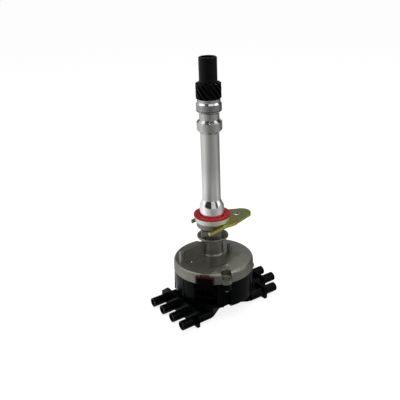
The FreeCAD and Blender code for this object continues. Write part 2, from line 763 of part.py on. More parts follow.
def make_shutter_wheel():
    wheel = joined([
        cylinder(VANE_R, SHUTTER_END, SHUTTER_TOP),
        cylinder(SHUTTER_HUB_R, SHUTTER_END, ROOF_BOSS_END - LOOSE),
    ])
    rim = ring(VANE_R - VANE_THICKNESS, VANE_R, SHUTTER_TOP - 0.5, VANE_TOP)
    step = 360.0 / VANE_COUNT
    gap = VANE_R * math.sin(math.radians(step * VANE_GAP_SHARE / 2))
    windows = [turn(block(0, VANE_R + 2, -gap, gap, SHUTTER_TOP, VANE_TOP + 1),
                    ROTOR_ANGLE + (i + 0.5) * step) for i in range(VANE_COUNT)]
    wheel = wheel.fuse(rim.cut(windows))
    holes = [cylinder(SMALL_SCREW_R, SHUTTER_END - 1, SHUTTER_TOP + 1, at) for at in rotor_screw_places()]
    return less(wheel, [cylinder(SHAFT_R, SHUTTER_END - 1, ROOF)] + holes)


def rotor_screw_places():
    return [xy(polar(ROTOR_SCREW_R, ROTOR_ANGLE + side)) for side in (90, -90)]


def make_rotor():
    reach = BLADE_TIP_R - 2.5
    arm = plate([(-ROTOR_BOSS_R - 2, -ROTOR_ARM_WIDTH / 2, 3.0), (reach, -ROTOR_ARM_WIDTH / 2, 2.0),
                 (reach, ROTOR_ARM_WIDTH / 2, 2.0), (-ROTOR_BOSS_R - 2, ROTOR_ARM_WIDTH / 2, 3.0)],
                ROTOR_ARM_END, ROTOR_PLATE_END + 0.5)
    solids = [
        cylinder(ROTOR_R, ROTOR_PLATE_END, SHUTTER_END),
        cylinder(ROTOR_BOSS_R, ROTOR_ARM_END, ROTOR_PLATE_END + 0.5),
        turn(arm, ROTOR_ANGLE),
    ]
    skirt = ring(ROTOR_R - 2.2, ROTOR_R, ROTOR_PLATE_END - 2.0, ROTOR_PLATE_END + 0.5)
    solids.append(skirt)
    holes = [cylinder(SMALL_SCREW_R + LOOSE, ROTOR_PLATE_END - 1, SHUTTER_END + 1, at)
             for at in rotor_screw_places()]
    return less(joined(solids), holes)


def make_rotor_blade():
    half = BLADE_WIDTH / 2
    strip = plate([(-half - 1, -half, 3.0), (BLADE_TIP_R, -half, 1.0), (BLADE_TIP_R, half, 1.0),
                   (-half - 1, half, 3.0)], BLADE_END, ROTOR_ARM_END)
    return turn(strip, ROTOR_ANGLE)


def make_rotor_screws():
    return Part.makeCompound([
        screw(SMALL_SCREW_R, SMALL_HEAD_R, SMALL_HEAD_LENGTH, ROTOR_PLATE_END, SHUTTER_TOP + 0.6, at)
        for at in rotor_screw_places()])


# Cap


def tower_list():
    """Every tower as side, row, flange distance and tip distance; the last is the coil tower."""
    towers = []
    for row in TOWER_ROWS:
        towers.append((-1, row, FLANGE_X, NEAR_TIP_X))
    towers.append((1, TOWER_ROWS[0], FLANGE_X, NEAR_TIP_X))
    towers.append((1, TOWER_ROWS[1], FLANGE_X + TOWER_STEP, NEAR_TIP_X + TOWER_STEP))
    towers.append((1, TOWER_ROWS[3], FLANGE_X + TOWER_STEP, NEAR_TIP_X + TOWER_STEP))
    towers.append((1, TOWER_ROWS[3] + TOWER_PITCH, FLANGE_X, NEAR_TIP_X))
    towers.append((1, TOWER_ROWS[2], FLANGE_X + TOWER_STEP, NEAR_TIP_X + TOWER_STEP))
    return towers


def contact_places():
    """Where each tower's contact stands inside the cap, in the order of tower_list."""
    step = 360.0 / CONTACT_COUNT
    order = (5, 4, 3, 2, 6, 7, 0, 1)
    places = [xy(polar(CONTACT_CIRCLE, (i + 0.5) * step)) for i in order]
    return places + [(0.0, 0.0)]


def flat_bar(start, end):
    """A conductor bar between two points at one height, rounded at both ends."""
    run = end - start
    bar = block(0, run.Length, -BAR_WIDTH / 2, BAR_WIDTH / 2, -BAR_HEIGHT / 2, BAR_HEIGHT / 2)
    bar.rotate(vec(0, 0), vec(0, 0, 1), math.degrees(math.atan2(run.y, run.x)))
    bar.translate(start)
    return bar


def drop_place(tower):
    """Where a conductor leaves the cap's floor and goes down to the towers' height."""
    side, row = tower[0], tower[1]
    if abs(row) > CAP_R:
        return xy(polar(CAP_R - 2 * CONTACT_R, END_DROP_ANGLE))
    return (side * BAR_DROP_X, row)


def conductor(tower, contact, top):
    """A post, a bar in the cap's floor, a drop to the tower and the terminal in the tower."""
    side, row, flange, tip = tower
    drop = drop_place(tower)
    solids = [cylinder(CONTACT_R, BAR_Z - BAR_HEIGHT / 2, top, contact)]
    if math.dist(contact, drop) > CONTACT_R:
        solids.append(flat_bar(vec(*contact, BAR_Z), vec(*drop, BAR_Z)))
    solids.append(cylinder(BAR_DROP_R, TOWER_Z - BAR_DROP_R, BAR_Z + BAR_HEIGHT / 2, drop))
    start = drop[0]
    if abs(drop[1] - row) > TERMINAL_R:
        start = side * (flange - TERMINAL_ROOT)
        solids.append(flat_bar(vec(*drop, TOWER_Z), vec(start, row, TOWER_Z)))
    solids.append(cylinder_x(TERMINAL_R, start, side * (tip - TERMINAL_SETBACK), row, TOWER_Z))
    return joined(solids)


def plug_conductors():
    pairs = list(zip(tower_list(), contact_places()))[:-1]
    return [conductor(tower, at, BLADE_END + CONTACT_REACH) for tower, at in pairs]


def coil_conductor():
    """The post under the brush spring, its bar and the coil tower's terminal."""
    side, row, flange, tip = tower_list()[-1]
    end = side * (flange - TERMINAL_ROOT)
    return joined([
        cylinder(CONTACT_R, TOWER_Z - BAR_HEIGHT / 2, SPRING_END),
        flat_bar(vec(0, 0, TOWER_Z), vec(end, row, TOWER_Z)),
        cylinder_x(TERMINAL_R, end - side * TERMINAL_LAP, side * (tip - TERMINAL_SETBACK), row, TOWER_Z),
    ])


def wing_outline():
    """Plan of both wings and the waist between them, seen from above."""
    edge, half, waist = WING_EDGE_X, WING_HALF_WIDTH, WING_WAIST
    far = TOWER_ROWS[3] + TOWER_PITCH + (half - TOWER_ROWS[3])
    step_low = TOWER_ROWS[1] - TOWER_R - FLANGE_SIDE
    step_high = TOWER_ROWS[3] + TOWER_R + FLANGE_SIDE
    out = edge + TOWER_STEP
    corner = WING_CORNER
    return [
        (-edge, -half), (-WING_KNEE_X, -half, corner * 2), (-WING_WAIST_X, -waist, corner * 2),
        (WING_WAIST_X, -waist, corner * 2), (WING_KNEE_X, -half, corner * 2), (edge, -half),
        (edge, step_low), (out, step_low), (out, step_high), (edge, step_high),
        (edge, far), (REAR_KNEE_X, far, corner * 3), (REAR_WAIST_X, half, corner * 3),
        (-edge, half),
    ]


def flange(side, x, y0, y1, rise, corner=None):
    """The cross wall that a group of towers stands on; it also carries the part on the ground."""
    top = TOWER_Z + rise
    corner = corner or [(y1, top, FLANGE_TOP_ROUND)]
    points = [(y0, GROUND, FLANGE_FOOT_ROUND), (y1, GROUND, FLANGE_FOOT_ROUND)]
    points += corner + [(y0, top, FLANGE_TOP_ROUND)]
    near, far = side * x, side * (x + FLANGE_THICKNESS)
    return sheet_across_x(points, min(near, far), max(near, far))


def tower_flanges():
    reach = TOWER_R + FLANGE_SIDE
    low, high = TOWER_ROWS[0] - reach, TOWER_ROWS[3] + reach
    mid_low, mid_high = TOWER_ROWS[1] - reach, TOWER_ROWS[3] + reach
    far = TOWER_ROWS[3] + TOWER_PITCH + reach
    top = TOWER_Z + TALL_FLANGE
    sloped = [(high, top - TALL_FLANGE_DROP), (high - TALL_FLANGE_SLOPE, top)]
    return [
        flange(-1, FLANGE_X, low, high, TALL_FLANGE, sloped),
        flange(1, FLANGE_X, low, mid_low, LOW_FLANGE),
        flange(1, FLANGE_X + TOWER_STEP, mid_low, mid_high, LOW_FLANGE),
        flange(1, FLANGE_X, mid_high, far, LOW_FLANGE),
    ]


def cap_lug(angle):
    """The column that takes a cap screw, below the housing's ear."""
    return cylinder(EAR_R, CAP_END + LUG_SHORT, CAP_TOP, xy(polar(EAR_AXIS_R, angle)))


def lug_cuts(angle):
    """Room for the ear's boss, the screw and insert, and the open channel for the driver."""
    centre = xy(polar(EAR_AXIS_R, angle))
    channel = turn(block(EAR_AXIS_R, EAR_AXIS_R + EAR_R + PAST, -CHANNEL_WIDTH / 2, CHANNEL_WIDTH / 2,
                         CAP_END - PAST, LUG_END), angle)
    return [
        cylinder(EAR_BOSS_R + LOOSE, EAR_BOSS_END, CAP_TOP + PAST, centre),
        cylinder(SCREW_R + LOOSE + INSERT_WALL, LUG_END - PAST, CAP_TOP + PAST, centre),
        cylinder(CHANNEL_WIDTH / 2, CAP_END - PAST, LUG_END, centre),
        channel,
    ]


def cap_rib(angle):
    """A low upright rib on the cap's wall, thicker towards the floor."""
    points = [(CAP_R - 2.0, CAP_END + 2.0), (CAP_R + WALL_RIB_HEIGHT, CAP_END + 2.0),
              (CAP_R + WALL_RIB_HEIGHT * 0.2, CAP_TOP - 4.0), (CAP_R - 2.0, CAP_TOP - 4.0)]
    wire = rounded_wire(points, lambda p: vec(p.x, -WALL_RIB_WIDTH / 2, p.y))
    return turn(Part.Face(wire).extrude(vec(0, WALL_RIB_WIDTH, 0)), angle)


def connector_pocket(grow):
    """The recess in the cap's wall that the connector hangs in, or its wall when grown."""
    return connector_prism(POCKET_WIDTH / 2 + grow, CAP_R - POCKET_DEPTH - grow, CAP_R + 6.0,
                           CAP_TOP - POCKET_LENGTH - grow, CAP_TOP + (0.0 if grow else 1.0))


def cap_shell():
    """The round body: outside, floor and hollow."""
    outer = turned([(0, CAP_TOP), (CAP_R, CAP_TOP), (CAP_R, CAP_END, CAP_EDGE), (0, CAP_END)])
    inner = cylinder(CAP_R - CAP_WALL, CAP_FLOOR_TOP, CAP_TOP + 1)
    trimmed = connector_pocket(POCKET_WALL).common(cylinder(CAP_R, CAP_END, CAP_TOP))
    columns = [cap_lug(a) for a in EAR_ANGLES]
    return joined([outer.cut(inner), trimmed] + columns + [cap_rib(a) for a in WALL_RIB_ANGLES])


def cap_wings():
    body = plate(wing_outline(), WING_END, WING_TOP)
    riser = body.common(cylinder(CAP_R - CAP_EDGE, WING_END, WING_TOP))
    riser.translate(vec(0, 0, CAP_END - WING_TOP + PAST))
    towers = []
    for side, row, base, tip in tower_list():
        towers.append(cylinder_x(TOWER_R, side * RIDGE_START_X, side * tip, row, TOWER_Z))
    return joined([body, riser] + tower_flanges() + towers)


def make_cap():
    root = CAP_FLOOR_TOP - PAST
    inside = [cylinder(CONTACT_R + CONTACT_WALL, root, CAP_FLOOR_TOP + CONTACT_BOSS, at)
              for at in contact_places()[:-1]]
    holder_top = CAP_FLOOR_TOP + HOLDER_LENGTH
    inside.append(cylinder(BRUSH_R + HOLDER_WALL, root, holder_top))
    body = joined([cap_shell(), cap_wings()] + inside)
    cuts = [connector_pocket(0.0), cylinder(BRUSH_R + SLIDING, SPRING_END, holder_top + PAST)]
    for angle in EAR_ANGLES:
        cuts += lug_cuts(angle)
    for side, row, base, tip in tower_list():
        mouth = side * (tip - TOWER_BORE_DEPTH)
        cuts.append(cylinder_x(TOWER_BORE_R, mouth, side * (tip + PAST), row, TOWER_Z))
    cuts += plug_conductors() + [coil_conductor()]
    return less(body, cuts)


def make_cap_screws():
    return Part.makeCompound([
        screw(SCREW_R, SCREW_HEAD_R, SCREW_HEAD_LENGTH, LUG_END, SCREW_TIP, xy(polar(EAR_AXIS_R, a)))
        for a in EAR_ANGLES])


def make_cap_inserts():
    """Metal sleeves in the cap's lugs, which keep the screws from crushing the plastic."""
    return Part.makeCompound([
        ring(SCREW_R + LOOSE, SCREW_R + LOOSE + INSERT_WALL, LUG_END, EAR_BOSS_END,
             xy(polar(EAR_AXIS_R, a))) for a in EAR_ANGLES])


def make_brush():
    return cylinder(BRUSH_R, BRUSH_END, BRUSH_TOP)


def make_brush_spring():
    pitch = (SPRING_LENGTH - 2 * SPRING_WIRE_R) / SPRING_TURNS
    path = Part.makeHelix(pitch, pitch * SPRING_TURNS, SPRING_R)
    path.translate(vec(0, 0, SPRING_END + SPRING_WIRE_R))
    start = vec(SPRING_R, 0, SPRING_END + SPRING_WIRE_R)
    section = Part.Wire(Part.makeCircle(SPRING_WIRE_R, start, vec(0, 1, 0)))
    return Part.Wire(path).makePipeShell([section], True, True)


# Clamp


def clamp_plan():
    """The fork from above: a round nose, two arms that straddle the barrel, open at the back."""
    low, high = -CLAMP_BEND_DROP - 2 * CLAMP_THICKNESS, CLAMP_THICKNESS
    slot = BARREL_R + LOOSE
    half, neck = CLAMP_HALF_WIDTH, CLAMP_NOSE_R - CLAMP_NOSE_SHY
    lap = CLAMP_NOSE_X + CLAMP_NOSE_LAP
    nose = cylinder(CLAMP_NOSE_R, low, high, (CLAMP_NOSE_X, 0))
    arms = plate([
        (CLAMP_TIP_X, -half, CLAMP_TIP_ROUND), (CLAMP_SHOULDER_X, -half, CLAMP_SHOULDER_ROUND),
        (lap, -neck), (lap, neck),
        (CLAMP_SHOULDER_X, half, CLAMP_SHOULDER_ROUND), (CLAMP_TIP_X, half, CLAMP_TIP_ROUND),
    ], low, high)
    gap = [cylinder(slot, low - PAST, high + PAST),
           block(CLAMP_TIP_X - PAST, 0, -slot, slot, low - PAST, high + PAST)]
    hole = cylinder(CLAMP_HOLE_R, low - PAST, high + PAST, (CLAMP_HOLE_X, 0))
    return less(nose.fuse(arms), gap + [hole])


def make_clamp():
    """The plan cut out of a strip that is flat at the nose and dips at the arms' tips."""
    t = CLAMP_THICKNESS
    far = CLAMP_NOSE_X + CLAMP_NOSE_R + PAST
    tip = CLAMP_TIP_X - PAST
    drop = CLAMP_BEND_DROP
    side = [(far, 0), (CLAMP_BEND_X, 0, CLAMP_BEND_R), (tip, -drop), (tip, -drop - t),
            (CLAMP_BEND_X, -t, CLAMP_UNDER_BEND_R), (far, -t)]
    half = CLAMP_HALF_WIDTH + PAST
    wire = rounded_wire(side, lambda p: vec(p.x, -half, p.y))
    strip = Part.Face(wire).extrude(vec(0, 2 * half, 0))
    fork = strip.common(clamp_plan())
    fork.translate(vec(0, 0, CLAMP_TOP))
    return turn(fork, CLAMP_ANGLE)


MAKERS = {
    "housing": make_housing,
    "collar_gasket": make_gasket,
    "upper_bushing": make_upper_bushing,
    "lower_bushing": make_lower_bushing,
    "shaft_seal": make_shaft_seal,
    "pickup_module": make_pickup,
    "hall_sensor": sensor_chip_shape,
    "pickup_magnet": magnet_shape,
    "connector_pins": make_connector_pins,
    "connector_seal": make_connector_seal,
    "pickup_screws": make_pickup_screws,
    "drive_shaft": make_shaft,
    "drive_gear": make_drive_gear,
    "gear_pin": make_gear_pin,
    "thrust_washers": make_thrust_washers,
    "shutter_wheel": make_shutter_wheel,
    "rotor": make_rotor,
    "rotor_blade": make_rotor_blade,
    "rotor_screws": make_rotor_screws,
    "cap": make_cap,
    "cap_screws": make_cap_screws,
    "cap_inserts": make_cap_inserts,
    "plug_terminals": lambda: Part.makeCompound(plug_conductors()),
    "coil_terminal": coil_conductor,
    "carbon_brush": make_brush,
    "brush_spring": make_brush_spring,
    "hold_down_clamp": make_clamp,
}


def main():
    os.makedirs("parts", exist_ok=True)
    for name, make in MAKERS.items():
        shape = make()
        box = shape.BoundBox
        print(f"{name:18s} solids {len(shape.Solids)} valid {shape.isValid()} volume {shape.Volume:10.1f} "
              f"z {box.ZMin:8.2f} {box.ZMax:8.2f}")
        shape.exportStep(f"parts/{name}.step")


main()
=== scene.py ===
"""Finishes, small formed details, studio and camera for the ignition distributor."""

import math

import bmesh
import bpy
from mathutils import Matrix, Vector


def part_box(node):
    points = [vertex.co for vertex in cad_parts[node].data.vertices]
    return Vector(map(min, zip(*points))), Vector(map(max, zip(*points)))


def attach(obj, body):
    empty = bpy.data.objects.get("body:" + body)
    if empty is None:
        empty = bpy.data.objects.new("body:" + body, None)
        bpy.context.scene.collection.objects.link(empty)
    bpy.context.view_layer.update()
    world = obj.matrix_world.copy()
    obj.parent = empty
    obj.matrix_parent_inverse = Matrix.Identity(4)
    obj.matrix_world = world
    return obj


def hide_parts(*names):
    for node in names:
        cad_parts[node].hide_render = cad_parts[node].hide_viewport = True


bl_info = {
    "name": "Ignition distributor",
    "version": (1, 0, 0),
    "blender": (4, 5, 0),
    "location": "3D View > Sidebar > Distributor",
    "description": "Cast, turned, plated and moulded finishes and small formed details of a distributor",
    "category": "Object",
}

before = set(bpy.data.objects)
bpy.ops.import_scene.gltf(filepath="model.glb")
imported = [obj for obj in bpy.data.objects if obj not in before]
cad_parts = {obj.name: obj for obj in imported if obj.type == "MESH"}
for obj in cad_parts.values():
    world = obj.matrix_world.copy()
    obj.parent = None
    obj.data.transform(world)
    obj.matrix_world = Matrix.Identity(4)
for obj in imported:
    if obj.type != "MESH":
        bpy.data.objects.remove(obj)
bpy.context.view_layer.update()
MM = 0.001

# How far a cutter or a zone runs past the metal, the widest cutter's radius, how deep a ring is sunk
CLEAR = 1.0 * MM
CUT_R = 70 * MM
SUNK = 0.5 * MM
# Faces that meet at more degrees than this keep a sharp edge
CREASE = 28.0

# The machined nose: two bands of the pilot's radius, a groove between them, a slimmer stem, then the cone
PILOT_R = 16.1 * MM
GROOVE_R = 12.8 * MM
STEM_R = 12.0 * MM
NOSE_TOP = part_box("housing")[1].z
LEAD_DEPTH = 1.4 * MM
LEAD_LENGTH = 2.4 * MM
UPPER_BAND_END = NOSE_TOP - 10.9 * MM
UPPER_SHOULDER = 3.2 * MM
LOWER_BAND_TOP = UPPER_BAND_END - 14.0 * MM
LOWER_SHOULDER = 3.2 * MM
LOWER_BAND_END = LOWER_BAND_TOP - 10.0 * MM
BANDS_FOOT = LOWER_BAND_END - 4.6 * MM
CONE_TOP = 20.6 * MM
CONE_FOOT = 12.0 * MM
SOLID_CONE_FOOT = 10.0 * MM

# Heights that part the housing's turned lengths from its casting, and the floor's height
COLLAR_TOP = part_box("collar_gasket")[0].z
COLLAR_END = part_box("hold_down_clamp")[1].z + 0.3 * MM
BOWL_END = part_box("cap")[1].z
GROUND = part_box("cap")[0].z

# The two screw ears at the bowl's rim: a round recess cut down to a seat, with a spot face in it
EAR_TURNS = (252.5, 72.5)
EAR_AXIS_R = 50.8 * MM
EAR_R = 7.7 * MM
EAR_SEAT = -71.2 * MM
RECESS_R = 7.0 * MM
SPOT_R = 4.6 * MM
SPOT_DEPTH = 0.6 * MM
SCREW_HOLE_R = 2.45 * MM
SCREW_HOLE_DEPTH = 9.0 * MM
SCREW_SETBACK = 2.2 * MM
BOWL_CREST = -48 * MM
BOWL_OUTER_R = 53.9 * MM
EAR_BACK_TOP = -66 * MM

# The rounded tips of the pickup's screws, which stand just proud of the bowl's sloping top
PLATE_SCREW_TURNS = (180.0, 263.5, 30.0)
PLATE_SCREW_R = 35.6 * MM
TIP_R = 1.5 * MM
TIP_FOOT = -63.5 * MM
TIP_CREST = -60.5 * MM

# The gasket's section round the pilot
GASKET_CLEARANCE = 1.0 * MM
GASKET_STEP_R = 19.3 * MM
GASKET_DROP = 0.35 * MM
GASKET_ROUND = 0.5 * MM

# The housing's finish by height: low end, high end and blur of each zone; the stem foot's zone is no finish
# but a painted reflection
ZONES = {
    "turned": (COLLAR_END, NOSE_TOP + CLEAR, 0.1 * MM),
    "bands": (BANDS_FOOT, NOSE_TOP + CLEAR, 1.5 * MM),
    "upper band": (UPPER_BAND_END, NOSE_TOP - LEAD_LENGTH, 0.3 * MM),
    # Painted reflection: the stem's lower length is made paler, fading out upwards
    "stem foot painted reflection": (CONE_TOP, 55 * MM, 30 * MM),
    "cone": (COLLAR_TOP, CONE_TOP, 0.3 * MM),
    "collar": (COLLAR_END, COLLAR_TOP, 0.1 * MM),
}
# How many times paler than the turned metal a zone is, and what is added to its roughness; the stem foot's
# paleness is a painted reflection of the bowl and clamp below it
ZONE_SHADES = (("stem foot painted reflection", 1.2), ("cone", 1.45), ("collar", 1.3))
ZONE_ROUGHNESS = (("bands", -0.16), ("cone", -0.27), ("collar", 0.22))

# Plain metals: colour, roughness and the pitch of the turning rings, 0 where it is drawn or stamped
METALS = {
    "bright steel": ((0.60, 0.60, 0.61, 1.0), 0.24, 0.0),
    "ground steel": ((0.46, 0.46, 0.47, 1.0), 0.22, 0.2 * MM),
    "zinc plated steel": ((0.58, 0.58, 0.58, 1.0), 0.30, 0.0),
    "sintered bronze": ((0.52, 0.33, 0.14, 1.0), 0.42, 0.3 * MM),
    "stamped brass": ((0.72, 0.50, 0.20, 1.0), 0.28, 0.0),
    # The pins' brass is painted almost black: painted shade of the connector's socket, not the metal's own
    # colour
    "tinned brass in painted shade": ((0.025, 0.022, 0.015, 1.0), 0.45, 0.0),
    "contact aluminium": ((0.42, 0.42, 0.43, 1.0), 0.34, 0.0),
}

# Greys that polished faces see: the turn to the right of the camera in degrees, and the grey
FLOOR_PANELS = ((-180, 0.60), (-120, 0.80), (-78, 0.98), (-40, 0.52), (2, 0.22), (20, 0.27), (60, 0.42),
                (84, 0.46), (130, 0.12), (165, 0.50), (180, 0.60))
ROOM_PANELS = ((-180, 0.20), (-140, 0.20), (-132, 1.0), (-84, 1.0), (-70, 0.12), (-60, 0.03), (-8, 0.03),
               (-2, 0.55), (34, 0.55), (44, 0.03), (56, 0.03), (66, 1.0), (92, 1.0), (106, 0.20),
               (116, 0.04), (140, 0.04), (146, 0.5), (165, 0.5), (172, 0.20), (180, 0.20))
# The elevations in degrees between which the floor gives way to the walls, and the walls to the ceiling
WALLS_START = (0, 3)
CEILING_START = (38, 56)

# Soft boxes: turn to the right of the camera and elevation in degrees, size in metres, watts
LAMPS = {
    "left_box": (-80, 46, 0.90, 4.4),
    "front_box": (26, 52, 0.80, 2.2),
    "right_box": (84, 48, 0.70, 2.2),
    "ridge_box": (140, 56, 0.12, 2.0),
    "top_box": (20, 84, 0.15, 1.5),
}
LAMP_DISTANCE = 1.3
FLOOR_SIZE = 12.0
SENSOR_WIDTH = 36.0


class Tree:
    """Adds nodes to one node tree and links them."""

    def __init__(self, tree):
        self.tree = tree

    def node(self, kind, inputs=None, **settings):
        made = self.tree.nodes.new(kind)
        for name, value in settings.items():
            setattr(made, name, value)
        for socket, value in (inputs or {}).items():
            self.feed(made.inputs[socket], value)
        return made

    def feed(self, socket, value):
        if isinstance(value, bpy.types.NodeSocket):
            self.tree.links.new(value, socket)
        else:
            socket.default_value = value

    def maths(self, operation, first, second=0.0, clamp=False):
        made = self.node("ShaderNodeMath", {0: first, 1: second}, operation=operation, use_clamp=clamp)
        return made.outputs[0]

    def vector(self, operation, first, second):
        return self.node("ShaderNodeVectorMath", {0: first, 1: second}, operation=operation).outputs

    def remap(self, value, low, high, to_low=0.0, to_high=1.0):
        made = self.node("ShaderNodeMapRange", {"Value": value, "From Min": low, "From Max": high,
                                                "To Min": to_low, "To Max": to_high},
                         interpolation_type="SMOOTHSTEP")
        return made.outputs[0]

    def blend(self, factor, first, second):
        made = self.node("ShaderNodeMix", {0: factor, 6: first, 7: second}, data_type="RGBA")
        return made.outputs[2]

    def ramp(self, value, stops):
        """The colour at that place between the stops, which are positions and colours."""
        made = self.node("ShaderNodeValToRGB", {0: value})
        elements = made.color_ramp.elements
        while len(elements) < len(stops):
            elements.new(0.5)
        for element, (position, colour) in zip(elements, stops):
            element.position = position
            element.color = tuple(colour[:3]) + (1.0,)
        return made.outputs["Color"]

    def place(self):
        """The point on the piece, in metres in the part's own frame."""
        return self.node("ShaderNodeTexCoord").outputs["Object"]

    def height(self):
        return self.node("ShaderNodeSeparateXYZ", {0: self.place()}).outputs["Z"]

    def noise(self, where, size, detail=2.0, roughness=0.5):
        """Noise whose lumps are about size metres across; size may be a socket."""
        scale = self.maths("DIVIDE", 1.0, size)
        made = self.node("ShaderNodeTexNoise", {"Vector": where, "Scale": scale, "Detail": detail,
                                                "Roughness": roughness})
        return made.outputs["Fac"]

    def bump(self, height, distance, normal):
        made = self.node("ShaderNodeBump", {"Height": height, "Distance": distance, "Normal": normal})
        return made.outputs["Normal"]

    def effect(self, group, **inputs):
        """Places a shared effect; inputs are its sockets' names with spaces as underscores."""
        made = self.node("ShaderNodeGroup", node_tree=group())
        for name, value in inputs.items():
            self.feed(made.inputs[name.replace("_", " ")], value)
        return made.outputs


# Effects that several finishes share


def shared(build):
    """Builds an effect's node group on its first use, and hands out the same group after that."""
    name = build.__name__.replace("_", " ")

    def group():
        if name not in bpy.data.node_groups:
            build(name)
        return bpy.data.node_groups[name]

    return group


def new_effect(name, inputs, outputs):
    """An empty shader node group with float inputs; returns its tree and what goes in and out."""
    group = bpy.data.node_groups.new(name, "ShaderNodeTree")
    for label, default in inputs.items():
        socket = group.interface.new_socket(name=label, in_out="INPUT", socket_type="NodeSocketFloat")
        socket.default_value = default
    for label, kind in outputs.items():
        group.interface.new_socket(name=label, in_out="OUTPUT", socket_type="NodeSocket" + kind)
    tree = Tree(group)
    return tree, tree.node("NodeGroupInput").outputs, tree.node("NodeGroupOutput").inputs


@shared
def height_band(name):
    """1 between two heights of the part, 0 elsewhere."""
    tree, given, out = new_effect(name, {"Low": 0.0, "High": 1.0, "Blur": 0.1 * MM}, {"Mask": "Float"})
    z = tree.height()
    half = tree.maths("MULTIPLY", given["Blur"], 0.5)
    sides = []
    for end, below, above in (("Low", 0.0, 1.0), ("High", 1.0, 0.0)):
        first = tree.maths("SUBTRACT", given[end], half)
        last = tree.maths("ADD", given[end], half)
        sides.append(tree.remap(z, first, last, below, above))
    tree.feed(out["Mask"], tree.maths("MULTIPLY", *sides))


@shared
def fine_grain(name):
    """Small lumps for a bump and a slow change of tone, as on castings and mouldings."""
    tree, given, out = new_effect(name, {"Size": 0.6 * MM, "Patch Size": 10 * MM},
                                  {"Height": "Float", "Tone": "Float"})
    where = tree.place()
    patches = tree.noise(where, given["Patch Size"], 3.0, 0.55)
    tree.feed(out["Height"], tree.noise(where, given["Size"], 3.0, 0.6))
    tree.feed(out["Tone"], tree.remap(patches, 0.3, 0.7))


@shared
def turning_rings(name):
    """The rings that a lathe tool leaves round the part's axis."""
    tree, given, out = new_effect(name, {"Pitch": 0.4 * MM}, {"Height": "Float", "Tone": "Float"})
    along = tree.maths("DIVIDE", tree.height(), given["Pitch"])
    fine, broad = (tree.node("ShaderNodeTexNoise", {"W": along, "Scale": scale, "Detail": detail},
                             noise_dimensions="1D").outputs["Fac"]
                   for scale, detail in ((1.0, 1.0), (0.12, 2.0)))
    tree.feed(out["Height"], fine)
    tree.feed(out["Tone"], tree.remap(broad, 0.35, 0.65))


@shared
def softened_edges(name):
    """A normal that rounds sharp edges and a broken mask of wear along them."""
    tree, given, out = new_effect(name, {"Radius": 0.3 * MM, "Break Size": 2 * MM},
                                  {"Normal": "Vector", "Wear": "Float"})
    rounded = tree.node("ShaderNodeBevel", {"Radius": given["Radius"]}, samples=4).outputs["Normal"]
    flat = tree.node("ShaderNodeNewGeometry").outputs["Normal"]
    edge = tree.remap(tree.vector("DOT_PRODUCT", rounded, flat)["Value"], 0.995, 0.86)
    broken = tree.remap(tree.noise(tree.place(), given["Break Size"], 4.0, 0.65), 0.36, 0.6)
    tree.feed(out["Normal"], rounded)
    tree.feed(out["Wear"], tree.maths("MULTIPLY", edge, broken))


@shared
def smudges(name):
    """Slow smears that change the gloss where a piece was handled."""
    tree, given, out = new_effect(name, {"Size": 12 * MM}, {"Mask": "Float"})
    where = tree.vector("MULTIPLY", tree.place(), (1.0, 1.6, 0.7))[0]
    tree.feed(out["Mask"], tree.remap(tree.noise(where, given["Size"], 4.0, 0.6), 0.38, 0.68))


@shared
def scuffs(name):
    """Thin short scratches that run every way."""
    tree, given, out = new_effect(name, {"Size": 6 * MM, "Width": 0.02}, {"Mask": "Float"})
    where = tree.place()
    marks = []
    for stretch in ((1.0, 0.16, 0.4), (0.2, 1.0, 0.5), (0.6, 0.3, 1.0)):
        wave = tree.noise(tree.vector("MULTIPLY", where, stretch)[0], given["Size"], 5.0, 0.7)
        away = tree.maths("ABSOLUTE", tree.maths("SUBTRACT", wave, 0.5))
        marks.append(tree.remap(away, 0.0, given["Width"], 1.0, 0.0))
    crossings = (tree.maths("MULTIPLY", marks[0], marks[1]), tree.maths("MULTIPLY", marks[1], marks[2]))
    tree.feed(out["Mask"], tree.maths("MAXIMUM", *crossings))


# Materials


def new_material(name, metallic, roughness, specular=0.5):
    """A material with one Principled shader; returns the material, its tree and the shader's inputs."""
    material = bpy.data.materials.new(name)
    material.use_nodes = True
    material.node_tree.nodes.clear()
    tree = Tree(material.node_tree)
    shader = tree.node("ShaderNodeBsdfPrincipled")
    output = tree.node("ShaderNodeOutputMaterial")
    tree.feed(output.inputs["Surface"], shader.outputs["BSDF"])
    shader.inputs["Metallic"].default_value = metallic
    shader.inputs["Roughness"].default_value = roughness
    shader.inputs["Specular IOR Level"].default_value = specular
    return material, tree, shader.inputs


def shade(colour, factor):
    """The colour made lighter or darker, and opaque."""
    return tuple(min(1.0, channel * factor) for channel in colour[:3]) + (1.0,)


def mottle(tree, tone, colour, darkest, lightest):
    """The colour as it drifts between two shades of itself."""
    return tree.blend(tone, shade(colour, darkest), shade(colour, lightest))


def part_of(tree, mask, share):
    """The mask at a share of its strength."""
    return tree.maths("MULTIPLY", mask, share)


def turned_colour(tree, settings, zone, rings, sand, wear):
    """Ringed metal on the stem, gritty bands, and the paler zones below them, the stem foot's paleness
    being a painted reflection.
    """
    colour = settings.turned_colour
    bright = mottle(tree, rings["Tone"], colour, 0.97, 1.0)
    gritty = mottle(tree, sand["Height"], colour, 0.55, 1.0)
    gritty = tree.blend(wear, gritty, shade(colour, 1.5))
    bright = tree.blend(zone["bands"], bright, gritty)
    bright = tree.blend(part_of(tree, zone["upper band"], 0.8), bright, shade(colour, 0.45))
    # The stem foot's paler colour is a painted reflection of the bowl and clamp
    for name, factor in ZONE_SHADES:
        bright = tree.blend(zone[name], bright, shade(colour, factor))
    return bright


